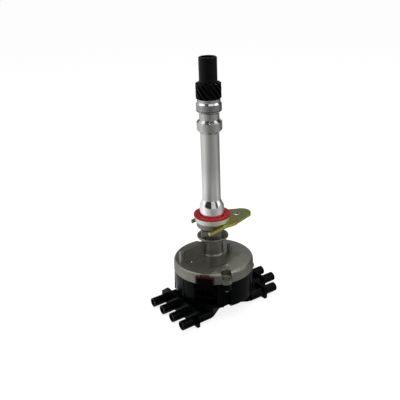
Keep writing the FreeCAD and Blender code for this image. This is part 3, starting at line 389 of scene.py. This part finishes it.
def cast_aluminium(settings):
    """The housing: turned nose, polished cone and collar on a blasted casting."""
    material, tree, shader = new_material("cast and turned aluminium", 1.0, 0.5)
    zone = {name: tree.effect(height_band, Low=low, High=high, Blur=blur)["Mask"]
            for name, (low, high, blur) in ZONES.items()}
    cast = tree.effect(fine_grain, Size=settings.grain_size, Patch_Size=14 * MM)
    sand = tree.effect(fine_grain, Size=0.45 * MM, Patch_Size=3 * MM)
    rings = tree.effect(turning_rings, Pitch=0.35 * MM)
    edges = tree.effect(softened_edges, Radius=0.35 * MM, Break_Size=2.5 * MM)
    smear = tree.effect(smudges, Size=14 * MM)["Mask"]

    dull = mottle(tree, cast["Tone"], settings.cast_colour, 0.92, 1.08)
    dull = tree.blend(part_of(tree, edges["Wear"], 0.75), dull, shade(settings.cast_colour, 2.6))
    bright = turned_colour(tree, settings, zone, rings, sand, edges["Wear"])
    tree.feed(shader["Base Color"], tree.blend(zone["turned"], dull, bright))

    rough = tree.remap(smear, 0.0, 1.0, settings.cast_roughness, settings.cast_roughness + 0.10)
    satin = tree.remap(rings["Tone"], 0.0, 1.0, 0.30, 0.36)
    for name, change in ZONE_ROUGHNESS:
        satin = tree.maths("ADD", satin, part_of(tree, zone[name], change))
    either = tree.node("ShaderNodeMix", {0: zone["turned"], 2: rough, 3: satin}, data_type="FLOAT")
    tree.feed(shader["Roughness"], either.outputs[0])

    blasted = tree.maths("MULTIPLY", tree.maths("SUBTRACT", 1.0, zone["turned"]), cast["Height"])
    ringed = tree.maths("SUBTRACT", zone["turned"], zone["cone"], clamp=True)
    ringed = tree.maths("MULTIPLY", rings["Height"], ringed)
    normal = tree.bump(blasted, 0.12 * MM, edges["Normal"])
    normal = tree.bump(ringed, 0.0014 * MM, normal)
    normal = tree.bump(tree.maths("MULTIPLY", sand["Height"], zone["bands"]), 0.014 * MM, normal)
    tree.feed(shader["Normal"], normal)
    return material


def moulded_plastic(name, colour, roughness, specular, grain):
    """A black moulding with a fine skin, faint scuffs and slightly paler edges."""
    material, tree, shader = new_material(name, 0.0, roughness, specular)
    skin = tree.effect(fine_grain, Size=grain, Patch_Size=12 * MM)
    edges = tree.effect(softened_edges, Radius=0.45 * MM, Break_Size=3 * MM)
    smear = tree.effect(smudges, Size=16 * MM)["Mask"]
    marks = tree.effect(scuffs, Size=8 * MM, Width=0.012)["Mask"]
    body = mottle(tree, skin["Tone"], colour, 0.8, 1.25)
    body = tree.blend(part_of(tree, edges["Wear"], 0.35), body, shade(colour, 4.0))
    body = tree.blend(part_of(tree, marks, 0.30), body, shade(colour, 4.5))
    tree.feed(shader["Base Color"], body)
    rough = tree.remap(smear, 0.0, 1.0, roughness, roughness + 0.12)
    tree.feed(shader["Roughness"], tree.maths("ADD", rough, part_of(tree, marks, 0.15)))
    tree.feed(shader["Normal"], tree.bump(skin["Height"], 0.012 * MM, edges["Normal"]))
    return material


def moulded_rubber(name, colour, roughness):
    """Rubber with a soft bloom over a fine moulded skin."""
    material, tree, shader = new_material(name, 0.0, roughness, 0.22)
    skin = tree.effect(fine_grain, Size=0.25 * MM, Patch_Size=6 * MM)
    edges = tree.effect(softened_edges, Radius=0.3 * MM, Break_Size=2 * MM)
    bloom = tree.effect(smudges, Size=9 * MM)["Mask"]
    body = mottle(tree, skin["Tone"], colour, 0.86, 1.08)
    body = tree.blend(part_of(tree, bloom, 0.12), body, shade(colour, 1.5))
    tree.feed(shader["Base Color"], body)
    tree.feed(shader["Roughness"], tree.remap(bloom, 0.0, 1.0, roughness, roughness + 0.14))
    tree.feed(shader["Normal"], tree.bump(skin["Height"], 0.02 * MM, edges["Normal"]))
    return material


def yellow_zinc(settings):
    """Yellow passivated zinc: olive and gold that drift to green and pink grey."""
    material, tree, shader = new_material("yellow zinc plating", 1.0, 0.3)
    edges = tree.effect(softened_edges, Radius=0.4 * MM, Break_Size=2 * MM)
    marks = tree.effect(scuffs, Size=7 * MM, Width=0.02)["Mask"]
    skin = tree.effect(fine_grain, Size=0.5 * MM, Patch_Size=5 * MM)
    drift = tree.noise(tree.place(), settings.tint_size, 1.0, 0.4)
    body = tree.ramp(drift, ((0.34, settings.gold), (0.45, settings.olive), (0.54, settings.green),
                             (0.64, settings.pink), (0.74, settings.olive)))
    body = tree.blend(part_of(tree, edges["Wear"], 0.6), body, shade(settings.gold, 1.5))
    body = tree.blend(part_of(tree, marks, 0.35), body, (0.72, 0.70, 0.62, 1.0))
    tree.feed(shader["Base Color"], body)
    tree.feed(shader["Roughness"], tree.remap(skin["Tone"], 0.0, 1.0, 0.20, 0.27))
    tree.feed(shader["Normal"], tree.bump(skin["Height"], 0.015 * MM, edges["Normal"]))
    return material


def black_oxide(settings):
    """Oiled black oxide steel with turning rings and thin bare edges."""
    roughness = settings.gear_roughness
    material, tree, shader = new_material("oiled black oxide", 0.0, roughness, 0.14)
    rings = tree.effect(turning_rings, Pitch=0.5 * MM)
    edges = tree.effect(softened_edges, Radius=0.35 * MM, Break_Size=1.6 * MM)
    oil = tree.effect(smudges, Size=10 * MM)["Mask"]
    body = mottle(tree, rings["Tone"], settings.gear_colour, 0.7, 1.3)
    body = tree.blend(part_of(tree, edges["Wear"], 0.5), body, shade(settings.gear_colour, 9.0))
    tree.feed(shader["Base Color"], body)
    tree.feed(shader["Roughness"], tree.remap(oil, 0.0, 1.0, roughness, roughness + 0.16))
    tree.feed(shader["Normal"], tree.bump(rings["Height"], 0.012 * MM, edges["Normal"]))
    return material


def plain_metal(name):
    """One of the plain metals: turned when it has a ring pitch, else drawn or stamped."""
    colour, roughness, pitch = METALS[name]
    material, tree, shader = new_material(name, 1.0, roughness)
    edges = tree.effect(softened_edges, Radius=0.2 * MM, Break_Size=1.2 * MM)
    smear = tree.effect(smudges, Size=6 * MM)["Mask"]
    marks = tree.effect(scuffs, Size=4 * MM, Width=0.02)["Mask"]
    if pitch:
        texture = tree.effect(turning_rings, Pitch=pitch)
    else:
        texture = tree.effect(fine_grain, Size=0.3 * MM, Patch_Size=3 * MM)
    body = mottle(tree, texture["Tone"], colour, 0.86, 1.0)
    body = tree.blend(part_of(tree, edges["Wear"], 0.5), body, shade(colour, 1.3))
    body = tree.blend(part_of(tree, smear, 0.25), body, shade(colour, 0.7))
    tree.feed(shader["Base Color"], body)
    rough = tree.remap(smear, 0.0, 1.0, roughness, roughness + 0.14)
    tree.feed(shader["Roughness"], tree.maths("ADD", rough, part_of(tree, marks, 0.12)))
    tree.feed(shader["Normal"], tree.bump(texture["Height"], 0.008 * MM, edges["Normal"]))
    return material


def pressed_carbon():
    """The brush and the magnet: pressed powder, dull with a slight sheen where it rubs."""
    material, tree, shader = new_material("pressed carbon", 0.0, 0.5)
    skin = tree.effect(fine_grain, Size=0.15 * MM, Patch_Size=1.5 * MM)
    edges = tree.effect(softened_edges, Radius=0.2 * MM, Break_Size=0.8 * MM)
    dark, pale = (0.018, 0.018, 0.02, 1.0), (0.045, 0.045, 0.05, 1.0)
    tree.feed(shader["Base Color"], tree.blend(skin["Tone"], dark, pale))
    tree.feed(shader["Roughness"], tree.remap(skin["Tone"], 0.0, 1.0, 0.36, 0.6))
    tree.feed(shader["Normal"], tree.bump(skin["Height"], 0.02 * MM, edges["Normal"]))
    return material


# Meshes


def around(turn, radius):
    """The x and y at that turn about the part's axis, in degrees."""
    angle = math.radians(turn)
    return radius * math.cos(angle), radius * math.sin(angle)


def rounded_corner(x, z, radius, start, end, steps=5):
    """Points along an arc about x and z, its angles in degrees."""
    turns = [math.radians(start + (end - start) * i / steps) for i in range(steps + 1)]
    return [(x + radius * math.cos(turn), z + radius * math.sin(turn)) for turn in turns]


def disc_profile(radius, low, high):
    """The section of a plain solid disc, from just beside the axis."""
    return ((1e-8, low), (radius, low), (radius, high), (1e-8, high))


def turned_mesh(name, profile, axis=(0.0, 0.0), segments=96):
    """A closed profile of radius and height turned about an upright axis through that x and y."""
    mesh = bpy.data.meshes.new(name)
    shape = bmesh.new()
    rings = []
    for i in range(segments):
        angle = 2 * math.pi * i / segments
        rings.append([shape.verts.new((axis[0] + r * math.cos(angle), axis[1] + r * math.sin(angle), z))
                      for r, z in profile])
    for ring, following in zip(rings, rings[1:] + rings[:1]):
        for k in range(len(profile)):
            after = (k + 1) % len(profile)
            shape.faces.new((ring[k], following[k], following[after], ring[after]))
    bmesh.ops.remove_doubles(shape, verts=shape.verts, dist=1e-7)
    bmesh.ops.recalc_face_normals(shape, faces=shape.faces)
    shape.to_mesh(mesh)
    shape.free()
    return mesh


def welded_copy(node):
    """The mesh of a CAD node with its split corners joined again and its stored normals dropped."""
    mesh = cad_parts[node].data.copy()
    shape = bmesh.new()
    shape.from_mesh(mesh)
    bmesh.ops.remove_doubles(shape, verts=shape.verts, dist=1e-6)
    shape.to_mesh(mesh)
    shape.free()
    if "custom_normal" in mesh.attributes:
        mesh.attributes.remove(mesh.attributes["custom_normal"])
    return mesh


def worked(mesh, added=(), cut=()):
    """The mesh with some meshes joined to it and then others taken out of it."""
    piece = place_mesh("being_worked", mesh)
    tools = []
    for operation, meshes in (("UNION", added), ("DIFFERENCE", cut)):
        for other in meshes:
            tool = place_mesh("tool", other)
            tools.append(tool)
            change = piece.modifiers.new(operation, "BOOLEAN")
            change.operation = operation
            change.solver = "EXACT"
            change.object = tool
    bpy.context.view_layer.update()
    result = bpy.data.meshes.new_from_object(piece.evaluated_get(bpy.context.evaluated_depsgraph_get()))
    for made in tools + [piece]:
        bpy.data.objects.remove(made)
    if not result.polygons:
        raise RuntimeError("working the mesh left nothing of it")
    return result


def place_mesh(name, mesh):
    piece = bpy.data.objects.new(name, mesh)
    bpy.context.scene.collection.objects.link(piece)
    return piece


def add_piece(name, mesh, material, body):
    """Places a piece with its material, smooth between its creases, and lets it ride on a body."""
    mesh.materials.clear()
    mesh.materials.append(material)
    mesh.shade_smooth()
    mesh.set_sharp_from_angle(angle=math.radians(CREASE))
    piece = place_mesh(name, mesh)
    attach(piece, body)
    return piece


def dress(material, *nodes):
    """Gives CAD nodes a material in their own material slots."""
    for name in nodes:
        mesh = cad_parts[name].data
        mesh.materials.clear()
        mesh.materials.append(material)


def worked_housing():
    """The housing with a lead chamfer and its two ears built up, recessed, spot faced and drilled."""
    lead = ((PILOT_R, NOSE_TOP - LEAD_LENGTH), (PILOT_R + CLEAR, NOSE_TOP - LEAD_LENGTH),
            (PILOT_R + CLEAR, NOSE_TOP + CLEAR), (PILOT_R - LEAD_DEPTH - CLEAR / 2, NOSE_TOP + CLEAR / 2))
    built = (("ear", EAR_R, BOWL_END, EAR_SEAT), ("back", EAR_R, EAR_SEAT - CLEAR, EAR_BACK_TOP))
    holes = (("recess", RECESS_R, EAR_SEAT), ("spot", SPOT_R, EAR_SEAT - SPOT_DEPTH),
             ("hole", SCREW_HOLE_R, BOWL_END - SCREW_HOLE_DEPTH))
    added, cut = [], [turned_mesh("lead", lead)]
    for turn in EAR_TURNS:
        axis = around(turn, EAR_AXIS_R)
        added += [turned_mesh(name, disc_profile(radius, low, high), axis)
                  for name, radius, low, high in built]
        cut += [turned_mesh(name, disc_profile(radius, low, BOWL_CREST), axis)
                for name, radius, low in holes]
    lip = ((BOWL_OUTER_R, EAR_SEAT), (CUT_R, EAR_SEAT), (CUT_R, BOWL_CREST), (BOWL_OUTER_R, BOWL_CREST))
    cut.append(turned_mesh("lip", lip))
    return worked(welded_copy("housing"), added, cut)


def nose_tapers():
    """Profiles of the rings that give the bands and the cone their slopes, each sunk into the nose."""
    in_groove, in_stem = GROOVE_R - SUNK, STEM_R - SUNK
    return {
        "upper_band_taper": ((PILOT_R, UPPER_BAND_END), (GROOVE_R, UPPER_BAND_END - UPPER_SHOULDER),
                             (in_groove, UPPER_BAND_END)),
        "lower_band_taper": ((PILOT_R, LOWER_BAND_TOP), (GROOVE_R, LOWER_BAND_TOP + LOWER_SHOULDER),
                             (in_groove, LOWER_BAND_TOP)),
        "band_foot_taper": ((PILOT_R, LOWER_BAND_END), (STEM_R, BANDS_FOOT), (in_stem, LOWER_BAND_END)),
        "cone_taper": ((PILOT_R, SOLID_CONE_FOOT), (PILOT_R, CONE_FOOT), (STEM_R, CONE_TOP),
                       (in_stem, CONE_TOP), (in_stem, SOLID_CONE_FOOT)),
    }


def gasket_profile(low, high, radius):
    """The gasket's section: rounded outside and in, with a shallow step towards its hole."""
    hole, step, drop, soft = PILOT_R + GASKET_CLEARANCE, GASKET_STEP_R, GASKET_DROP, GASKET_ROUND
    points = [(hole, low), (radius - soft, low)]
    points += rounded_corner(radius - soft, low + soft, soft, -90, 0)
    points += rounded_corner(radius - soft, high - soft, soft, 0, 90)
    points += [(step + drop, high), (step, high - drop)]
    points += rounded_corner(hole + soft, high - drop - soft, soft, 90, 180)
    return points


def screw_tip_profile():
    """The rounded end of a small screw."""
    dome = rounded_corner(0.0, TIP_CREST - TIP_R, TIP_R, 0, 90)[:-1]
    return [(1e-8, TIP_FOOT), (TIP_R, TIP_FOOT)] + dome + [(1e-8, TIP_CREST)]


# Settings


def colour_property(name, description, default):
    return bpy.props.FloatVectorProperty(name=name, description=description, default=default + (1.0,),
                                         size=4, subtype="COLOR", min=0.0, max=1.0)


def share_property(name, description, default):
    return bpy.props.FloatProperty(name=name, description=description, default=default,
                                   min=0.0, max=1.0, subtype="FACTOR")


def size_property(name, description, default, low, high):
    return bpy.props.FloatProperty(name=name, description=description, default=default, min=low, max=high,
                                   precision=4, subtype="DISTANCE", unit="LENGTH")


def angle_property(name, description, degrees):
    return bpy.props.FloatProperty(name=name, description=description, default=math.radians(degrees),
                                   subtype="ANGLE", unit="ROTATION")


class HousingSettings(bpy.types.PropertyGroup):
    cast_colour: colour_property("Cast Colour", "Colour of the blasted casting", (0.25, 0.246, 0.214))
    turned_colour: colour_property("Turned Colour", "Colour of the turned aluminium", (0.66, 0.66, 0.65))
    cast_roughness: share_property("Cast Roughness", "Roughness of the casting", 0.37)
    grain_size: size_property("Grain Size", "Size of the casting's grain", 0.7 * MM, 0.1 * MM, 10 * MM)


class GearSettings(bpy.types.PropertyGroup):
    gear_colour: colour_property("Gear Colour", "Colour of the black oxide", (0.0014, 0.0014, 0.0015))
    gear_roughness: share_property("Gear Roughness", "Roughness of the oiled oxide", 0.30)


class CapSettings(bpy.types.PropertyGroup):
    cap_colour: colour_property("Cap Colour", "Colour of the cap's plastic", (0.0014, 0.0019, 0.0018))
    pickup_colour: colour_property("Pickup Colour", "Colour of the connector's plastic",
                                   (0.0014, 0.0013, 0.0012))
    cap_roughness: share_property("Cap Roughness", "Roughness of the cap's skin", 0.19)


class RubberSettings(bpy.types.PropertyGroup):
    gasket_colour: colour_property("Gasket Colour", "Colour of the collar gasket", (0.38, 0.007, 0.010))
    grommet_colour: colour_property("Grommet Colour", "Colour of the connector's seal",
                                    (0.055, 0.004, 0.005))


class ZincSettings(bpy.types.PropertyGroup):
    gold: colour_property("Gold", "Gold tint of the plating", (0.62, 0.46, 0.12))
    olive: colour_property("Olive", "Olive tint of the plating", (0.52, 0.56, 0.12))
    green: colour_property("Green", "Green tint of the plating", (0.41, 0.58, 0.16))
    pink: colour_property("Pink", "Pink grey tint of the plating", (0.55, 0.46, 0.36))
    tint_size: size_property("Tint Size", "Size of the plating's tinted patches", 30 * MM, MM, 100 * MM)


class StudioSettings(bpy.types.PropertyGroup):
    azimuth: angle_property("Azimuth", "Camera's turn about the part's axis", -34.4)
    elevation: angle_property("Elevation", "Camera's height as an angle", 22.76)
    roll: angle_property("Roll", "Camera's turn about its own line of sight", -2.157)
    distance: bpy.props.FloatProperty(name="Distance", description="Distance from camera to target",
                                      default=0.7895, min=0.1, subtype="DISTANCE", unit="LENGTH")
    target: bpy.props.FloatVectorProperty(name="Target", description="Point at the picture's centre",
                                          default=(-0.01262, 0.00864, 0.01898), size=3,
                                          subtype="TRANSLATION", unit="LENGTH")
    lens: bpy.props.FloatProperty(name="Lens", description="Focal length in millimetres on a 36 mm sensor",
                                  default=54.364, min=10.0)
    ceiling_light: share_property("Ceiling Light", "What polished faces see above", 0.08)
    fill_light: bpy.props.FloatProperty(name="Fill Light", description="The room's even light",
                                        default=0.42, min=0.0, max=2.0)


# Stage


def grey(value):
    return (value, value, value, 1.0)


def new_shading(owner):
    """Clears an owner's nodes and returns its tree."""
    owner.use_nodes = True
    owner.node_tree.nodes.clear()
    return Tree(owner.node_tree)


def seen_panels(tree, where, settings, panels):
    """The grey of the panel in that direction; each panel is a turn in degrees and its grey."""
    across = tree.node("ShaderNodeSeparateXYZ", {0: where}).outputs
    ahead = tree.maths("MULTIPLY", across["Y"], -1.0)
    turn = tree.maths("SUBTRACT", tree.maths("ARCTAN2", across["X"], ahead), settings.azimuth)
    share = tree.maths("FRACT", tree.maths("ADD", tree.maths("DIVIDE", turn, 2 * math.pi), 1.5))
    return tree.ramp(share, [(degrees / 360 + 0.5, grey(value)) for degrees, value in panels])


def is_mirrored(tree, path):
    """1 for what polished or clear faces see, 0 for the rest."""
    return tree.maths("MAXIMUM", path["Is Glossy Ray"], path["Is Transmission Ray"])


def world_light(settings):
    """White to the camera, light and dark panels to polished faces, and an even fill to the rest."""
    world = bpy.data.worlds.new("studio room")
    tree = new_shading(world)
    direction = tree.node("ShaderNodeTexCoord").outputs["Generated"]
    rise = tree.node("ShaderNodeSeparateXYZ", {0: direction}).outputs["Z"]
    wall = seen_panels(tree, direction, settings, ROOM_PANELS)
    room = seen_panels(tree, direction, settings, FLOOR_PANELS)
    for (start, end), above in ((WALLS_START, wall), (CEILING_START, grey(settings.ceiling_light))):
        share = tree.remap(rise, math.sin(math.radians(start)), math.sin(math.radians(end)))
        room = tree.blend(share, room, above)
    path = tree.node("ShaderNodeLightPath").outputs
    seen = tree.blend(is_mirrored(tree, path), grey(settings.fill_light), room)
    seen = tree.blend(path["Is Camera Ray"], seen, grey(1.0))
    background = tree.node("ShaderNodeBackground", {"Color": seen, "Strength": 1.0})
    tree.feed(tree.node("ShaderNodeOutputWorld").inputs["Surface"], background.outputs[0])
    bpy.context.scene.world = world


def white_floor(settings):
    """Pale paper under the part: white to the camera with a faint shadow, panels to polished faces."""
    material = bpy.data.materials.new("white paper")
    tree = new_shading(material)
    where = tree.place()
    fibres = tree.blend(tree.noise(where, 1.5 * MM, 3.0, 0.6), grey(0.80), grey(0.84))
    paper = tree.node("ShaderNodeBsdfDiffuse", {"Color": fibres})
    shadowed = tree.node("ShaderNodeBsdfDiffuse", {"Color": grey(0.30)})
    glow = tree.node("ShaderNodeEmission", {"Color": grey(1.0), "Strength": 0.85})
    seen = tree.node("ShaderNodeAddShader", {0: shadowed.outputs[0], 1: glow.outputs[0]})
    mirror = tree.node("ShaderNodeEmission", {"Color": seen_panels(tree, where, settings, FLOOR_PANELS)})
    path = tree.node("ShaderNodeLightPath").outputs
    base = tree.node("ShaderNodeMixShader", {0: path["Is Camera Ray"], 1: paper.outputs[0],
                                             2: seen.outputs[0]})
    both = tree.node("ShaderNodeMixShader", {0: is_mirrored(tree, path), 1: base.outputs[0],
                                             2: mirror.outputs[0]})
    tree.feed(tree.node("ShaderNodeOutputMaterial").inputs["Surface"], both.outputs[0])
    return material


def add_floor(settings):
    mesh = bpy.data.meshes.new("studio_floor")
    shape = bmesh.new()
    bmesh.ops.create_grid(shape, x_segments=1, y_segments=1, size=FLOOR_SIZE)
    shape.to_mesh(mesh)
    shape.free()
    mesh.materials.append(white_floor(settings))
    floor = place_mesh("studio_floor", mesh)
    floor.location.z = GROUND


def direction_from(azimuth, elevation):
    """Unit vector from the part towards a viewer at that azimuth and elevation."""
    return Vector((math.sin(azimuth) * math.cos(elevation), -math.cos(azimuth) * math.cos(elevation),
                   math.sin(elevation)))


def add_lamp(name, settings, turn, elevation, size, watts):
    """A square soft box that faces the part and that the camera doesn't see."""
    light = bpy.data.lights.new(name, "AREA")
    light.shape = "SQUARE"
    light.size = size
    light.energy = watts
    lamp = bpy.data.objects.new(name, light)
    outward = direction_from(settings.azimuth + math.radians(turn), math.radians(elevation))
    lamp.location = Vector(settings.target) + outward * LAMP_DISTANCE
    lamp.rotation_euler = outward.to_track_quat("Z", "Y").to_euler()
    lamp.visible_camera = False
    bpy.context.scene.collection.objects.link(lamp)


def add_camera(settings):
    camera = bpy.data.objects.new("photo_camera", bpy.data.cameras.new("photo_camera"))
    camera.data.sensor_width = SENSOR_WIDTH
    camera.data.lens = settings.lens
    camera.data.clip_start = 0.01
    camera.data.clip_end = 50.0
    back = direction_from(settings.azimuth, settings.elevation)
    right = Vector((math.cos(settings.azimuth), math.sin(settings.azimuth), 0.0))
    up = back.cross(right)
    turned_right = right * math.cos(settings.roll) + up * math.sin(settings.roll)
    turned_up = up * math.cos(settings.roll) - right * math.sin(settings.roll)
    facing = Matrix((turned_right, turned_up, back)).transposed().to_4x4()
    camera.matrix_world = Matrix.Translation(Vector(settings.target) + back * settings.distance) @ facing
    bpy.context.scene.collection.objects.link(camera)
    bpy.context.scene.camera = camera


class SetStudio(bpy.types.Operator):
    """Adds the white floor, the soft boxes, the room's light and the camera"""

    bl_idname = "distributor.set_studio"
    bl_label = "Studio and Camera"

    def execute(self, context):
        settings = context.scene.distributor_studio
        context.scene.view_settings.view_transform = "Standard"
        world_light(settings)
        add_floor(settings)
        for name, (turn, elevation, size, watts) in LAMPS.items():
            add_lamp(name, settings, turn, elevation, size, watts)
        add_camera(settings)
        return {"FINISHED"}


# Pieces


class FinishHousing(bpy.types.Operator):
    """Gives the housing its aluminium, its sloped bands and cone, and its two cut ears"""

    bl_idname = "distributor.finish_housing"
    bl_label = "Housing"

    def execute(self, context):
        metal = cast_aluminium(context.scene.distributor_housing)
        dress(metal, "housing")
        casting = add_piece("casting", worked_housing(), metal, "body")
        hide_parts("housing")
        for name, profile in nose_tapers().items():
            add_piece(name, turned_mesh(name, profile), metal, "body")
        return {"FINISHED"}


class FinishGear(bpy.types.Operator):
    """Gives the drive gear its oiled black oxide, and the pin, washers, wheel and spring their steel"""

    bl_idname = "distributor.finish_gear"
    bl_label = "Drive Gear"

    def execute(self, context):
        dress(black_oxide(context.scene.distributor_gear), "drive_gear")
        dress(plain_metal("bright steel"), "gear_pin", "thrust_washers", "shutter_wheel", "brush_spring")
        return {"FINISHED"}


class FinishShaft(bpy.types.Operator):
    """Gives the shaft ground steel, the bushings sintered bronze and the seal black rubber"""

    bl_idname = "distributor.finish_shaft"
    bl_label = "Shaft and Bushings"

    def execute(self, context):
        dress(plain_metal("ground steel"), "drive_shaft")
        dress(plain_metal("sintered bronze"), "upper_bushing", "lower_bushing")
        dress(moulded_rubber("black rubber", (0.02, 0.02, 0.02, 1.0), 0.5), "shaft_seal")
        return {"FINISHED"}


class FinishSeals(bpy.types.Operator):
    """Gives the collar gasket its rounded section, and gasket and grommet their red rubber"""

    bl_idname = "distributor.finish_seals"
    bl_label = "Gasket and Grommet"

    def execute(self, context):
        settings = context.scene.distributor_rubber
        red = moulded_rubber("red rubber", settings.gasket_colour, 0.42)
        dress(red, "collar_gasket")
        low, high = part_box("collar_gasket")
        section = gasket_profile(low.z, high.z, high.x)
        gasket = add_piece("gasket", turned_mesh("gasket", section), red, "body")
        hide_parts("collar_gasket")
        dress(moulded_rubber("dark red rubber", settings.grommet_colour, 0.5), "connector_seal")
        return {"FINISHED"}


class FinishClamp(bpy.types.Operator):
    """Gives the clamp and the cap's screws their yellow zinc, and ends the screws below the ears' seats"""

    bl_idname = "distributor.finish_clamp"
    bl_label = "Clamp and Cap Screws"

    def execute(self, context):
        zinc = yellow_zinc(context.scene.distributor_zinc)
        dress(zinc, "hold_down_clamp", "cap_screws")
        above = turned_mesh("above", disc_profile(CUT_R, EAR_SEAT - SCREW_SETBACK, BOWL_CREST))
        screws = add_piece("cap_screw_pair", worked(welded_copy("cap_screws"), cut=[above]), zinc, "body")
        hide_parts("cap_screws")
        return {"FINISHED"}


class FinishCap(bpy.types.Operator):
    """Gives the cap its black moulding"""

    bl_idname = "distributor.finish_cap"
    bl_label = "Cap"

    def execute(self, context):
        settings = context.scene.distributor_cap
        dress(moulded_plastic("cap moulding", settings.cap_colour, settings.cap_roughness, 0.05, 0.35 * MM),
              "cap")
        return {"FINISHED"}


class FinishPickup(bpy.types.Operator):
    """Gives the pickup, its chip, magnet and screws their finishes, the pins a brass painted dark as
    painted shade, and the screws their tips
    """

    bl_idname = "distributor.finish_pickup"
    bl_label = "Pickup and Connector"

    def execute(self, context):
        settings = context.scene.distributor_cap
        dress(moulded_plastic("pickup moulding", settings.pickup_colour, 0.34, 0.03, 0.3 * MM),
              "pickup_module", "hall_sensor")
        dress(pressed_carbon(), "pickup_magnet", "carbon_brush")
        # The pins are painted dark as painted shade
        dress(plain_metal("tinned brass in painted shade"), "connector_pins")
        steel = plain_metal("zinc plated steel")
        dress(steel, "pickup_screws", "rotor_screws")
        for i, turn in enumerate(PLATE_SCREW_TURNS, start=1):
            tip = turned_mesh("tip", screw_tip_profile(), around(turn, PLATE_SCREW_R), 32)
            add_piece(f"pickup_screw_tip_{i}", tip, steel, "body")
        return {"FINISHED"}


class FinishRotor(bpy.types.Operator):
    """Gives the rotor its moulding, blade and inserts their brass and the terminals their aluminium"""

    bl_idname = "distributor.finish_rotor"
    bl_label = "Rotor and Contacts"

    def execute(self, context):
        dress(moulded_plastic("rotor moulding", (0.02, 0.02, 0.021, 1.0), 0.42, 0.4, 0.3 * MM), "rotor")
        dress(plain_metal("stamped brass"), "rotor_blade", "cap_inserts")
        dress(plain_metal("contact aluminium"), "plug_terminals", "coil_terminal")
        return {"FINISHED"}


OPERATORS = (SetStudio, FinishHousing, FinishGear, FinishShaft, FinishSeals, FinishClamp, FinishCap,
             FinishPickup, FinishRotor)


class DistributorPanel(bpy.types.Panel):
    """Lists the steps that dress the distributor"""

    bl_idname = "VIEW3D_PT_distributor"
    bl_label = "Ignition Distributor"
    bl_space_type = "VIEW_3D"
    bl_region_type = "UI"
    bl_category = "Distributor"

    def draw(self, context):
        column = self.layout.column(align=True)
        for step in OPERATORS:
            column.operator(step.bl_idname)


SETTINGS = {
    "distributor_housing": HousingSettings,
    "distributor_gear": GearSettings,
    "distributor_cap": CapSettings,
    "distributor_rubber": RubberSettings,
    "distributor_zinc": ZincSettings,
    "distributor_studio": StudioSettings,
}


def register():
    for name, group in SETTINGS.items():
        bpy.utils.register_class(group)
        setattr(bpy.types.Scene, name, bpy.props.PointerProperty(type=group))
    for item in OPERATORS + (DistributorPanel,):
        bpy.utils.register_class(item)


def unregister():
    for item in reversed(OPERATORS + (DistributorPanel,)):
        bpy.utils.unregister_class(item)
    for name, group in reversed(SETTINGS.items()):
        delattr(bpy.types.Scene, name)
        bpy.utils.unregister_class(group)


def main():
    register()
    for step in OPERATORS:
        area, action = step.bl_idname.split(".")
        getattr(getattr(bpy.ops, area), action)()


if __name__ == "__main__":
    main()
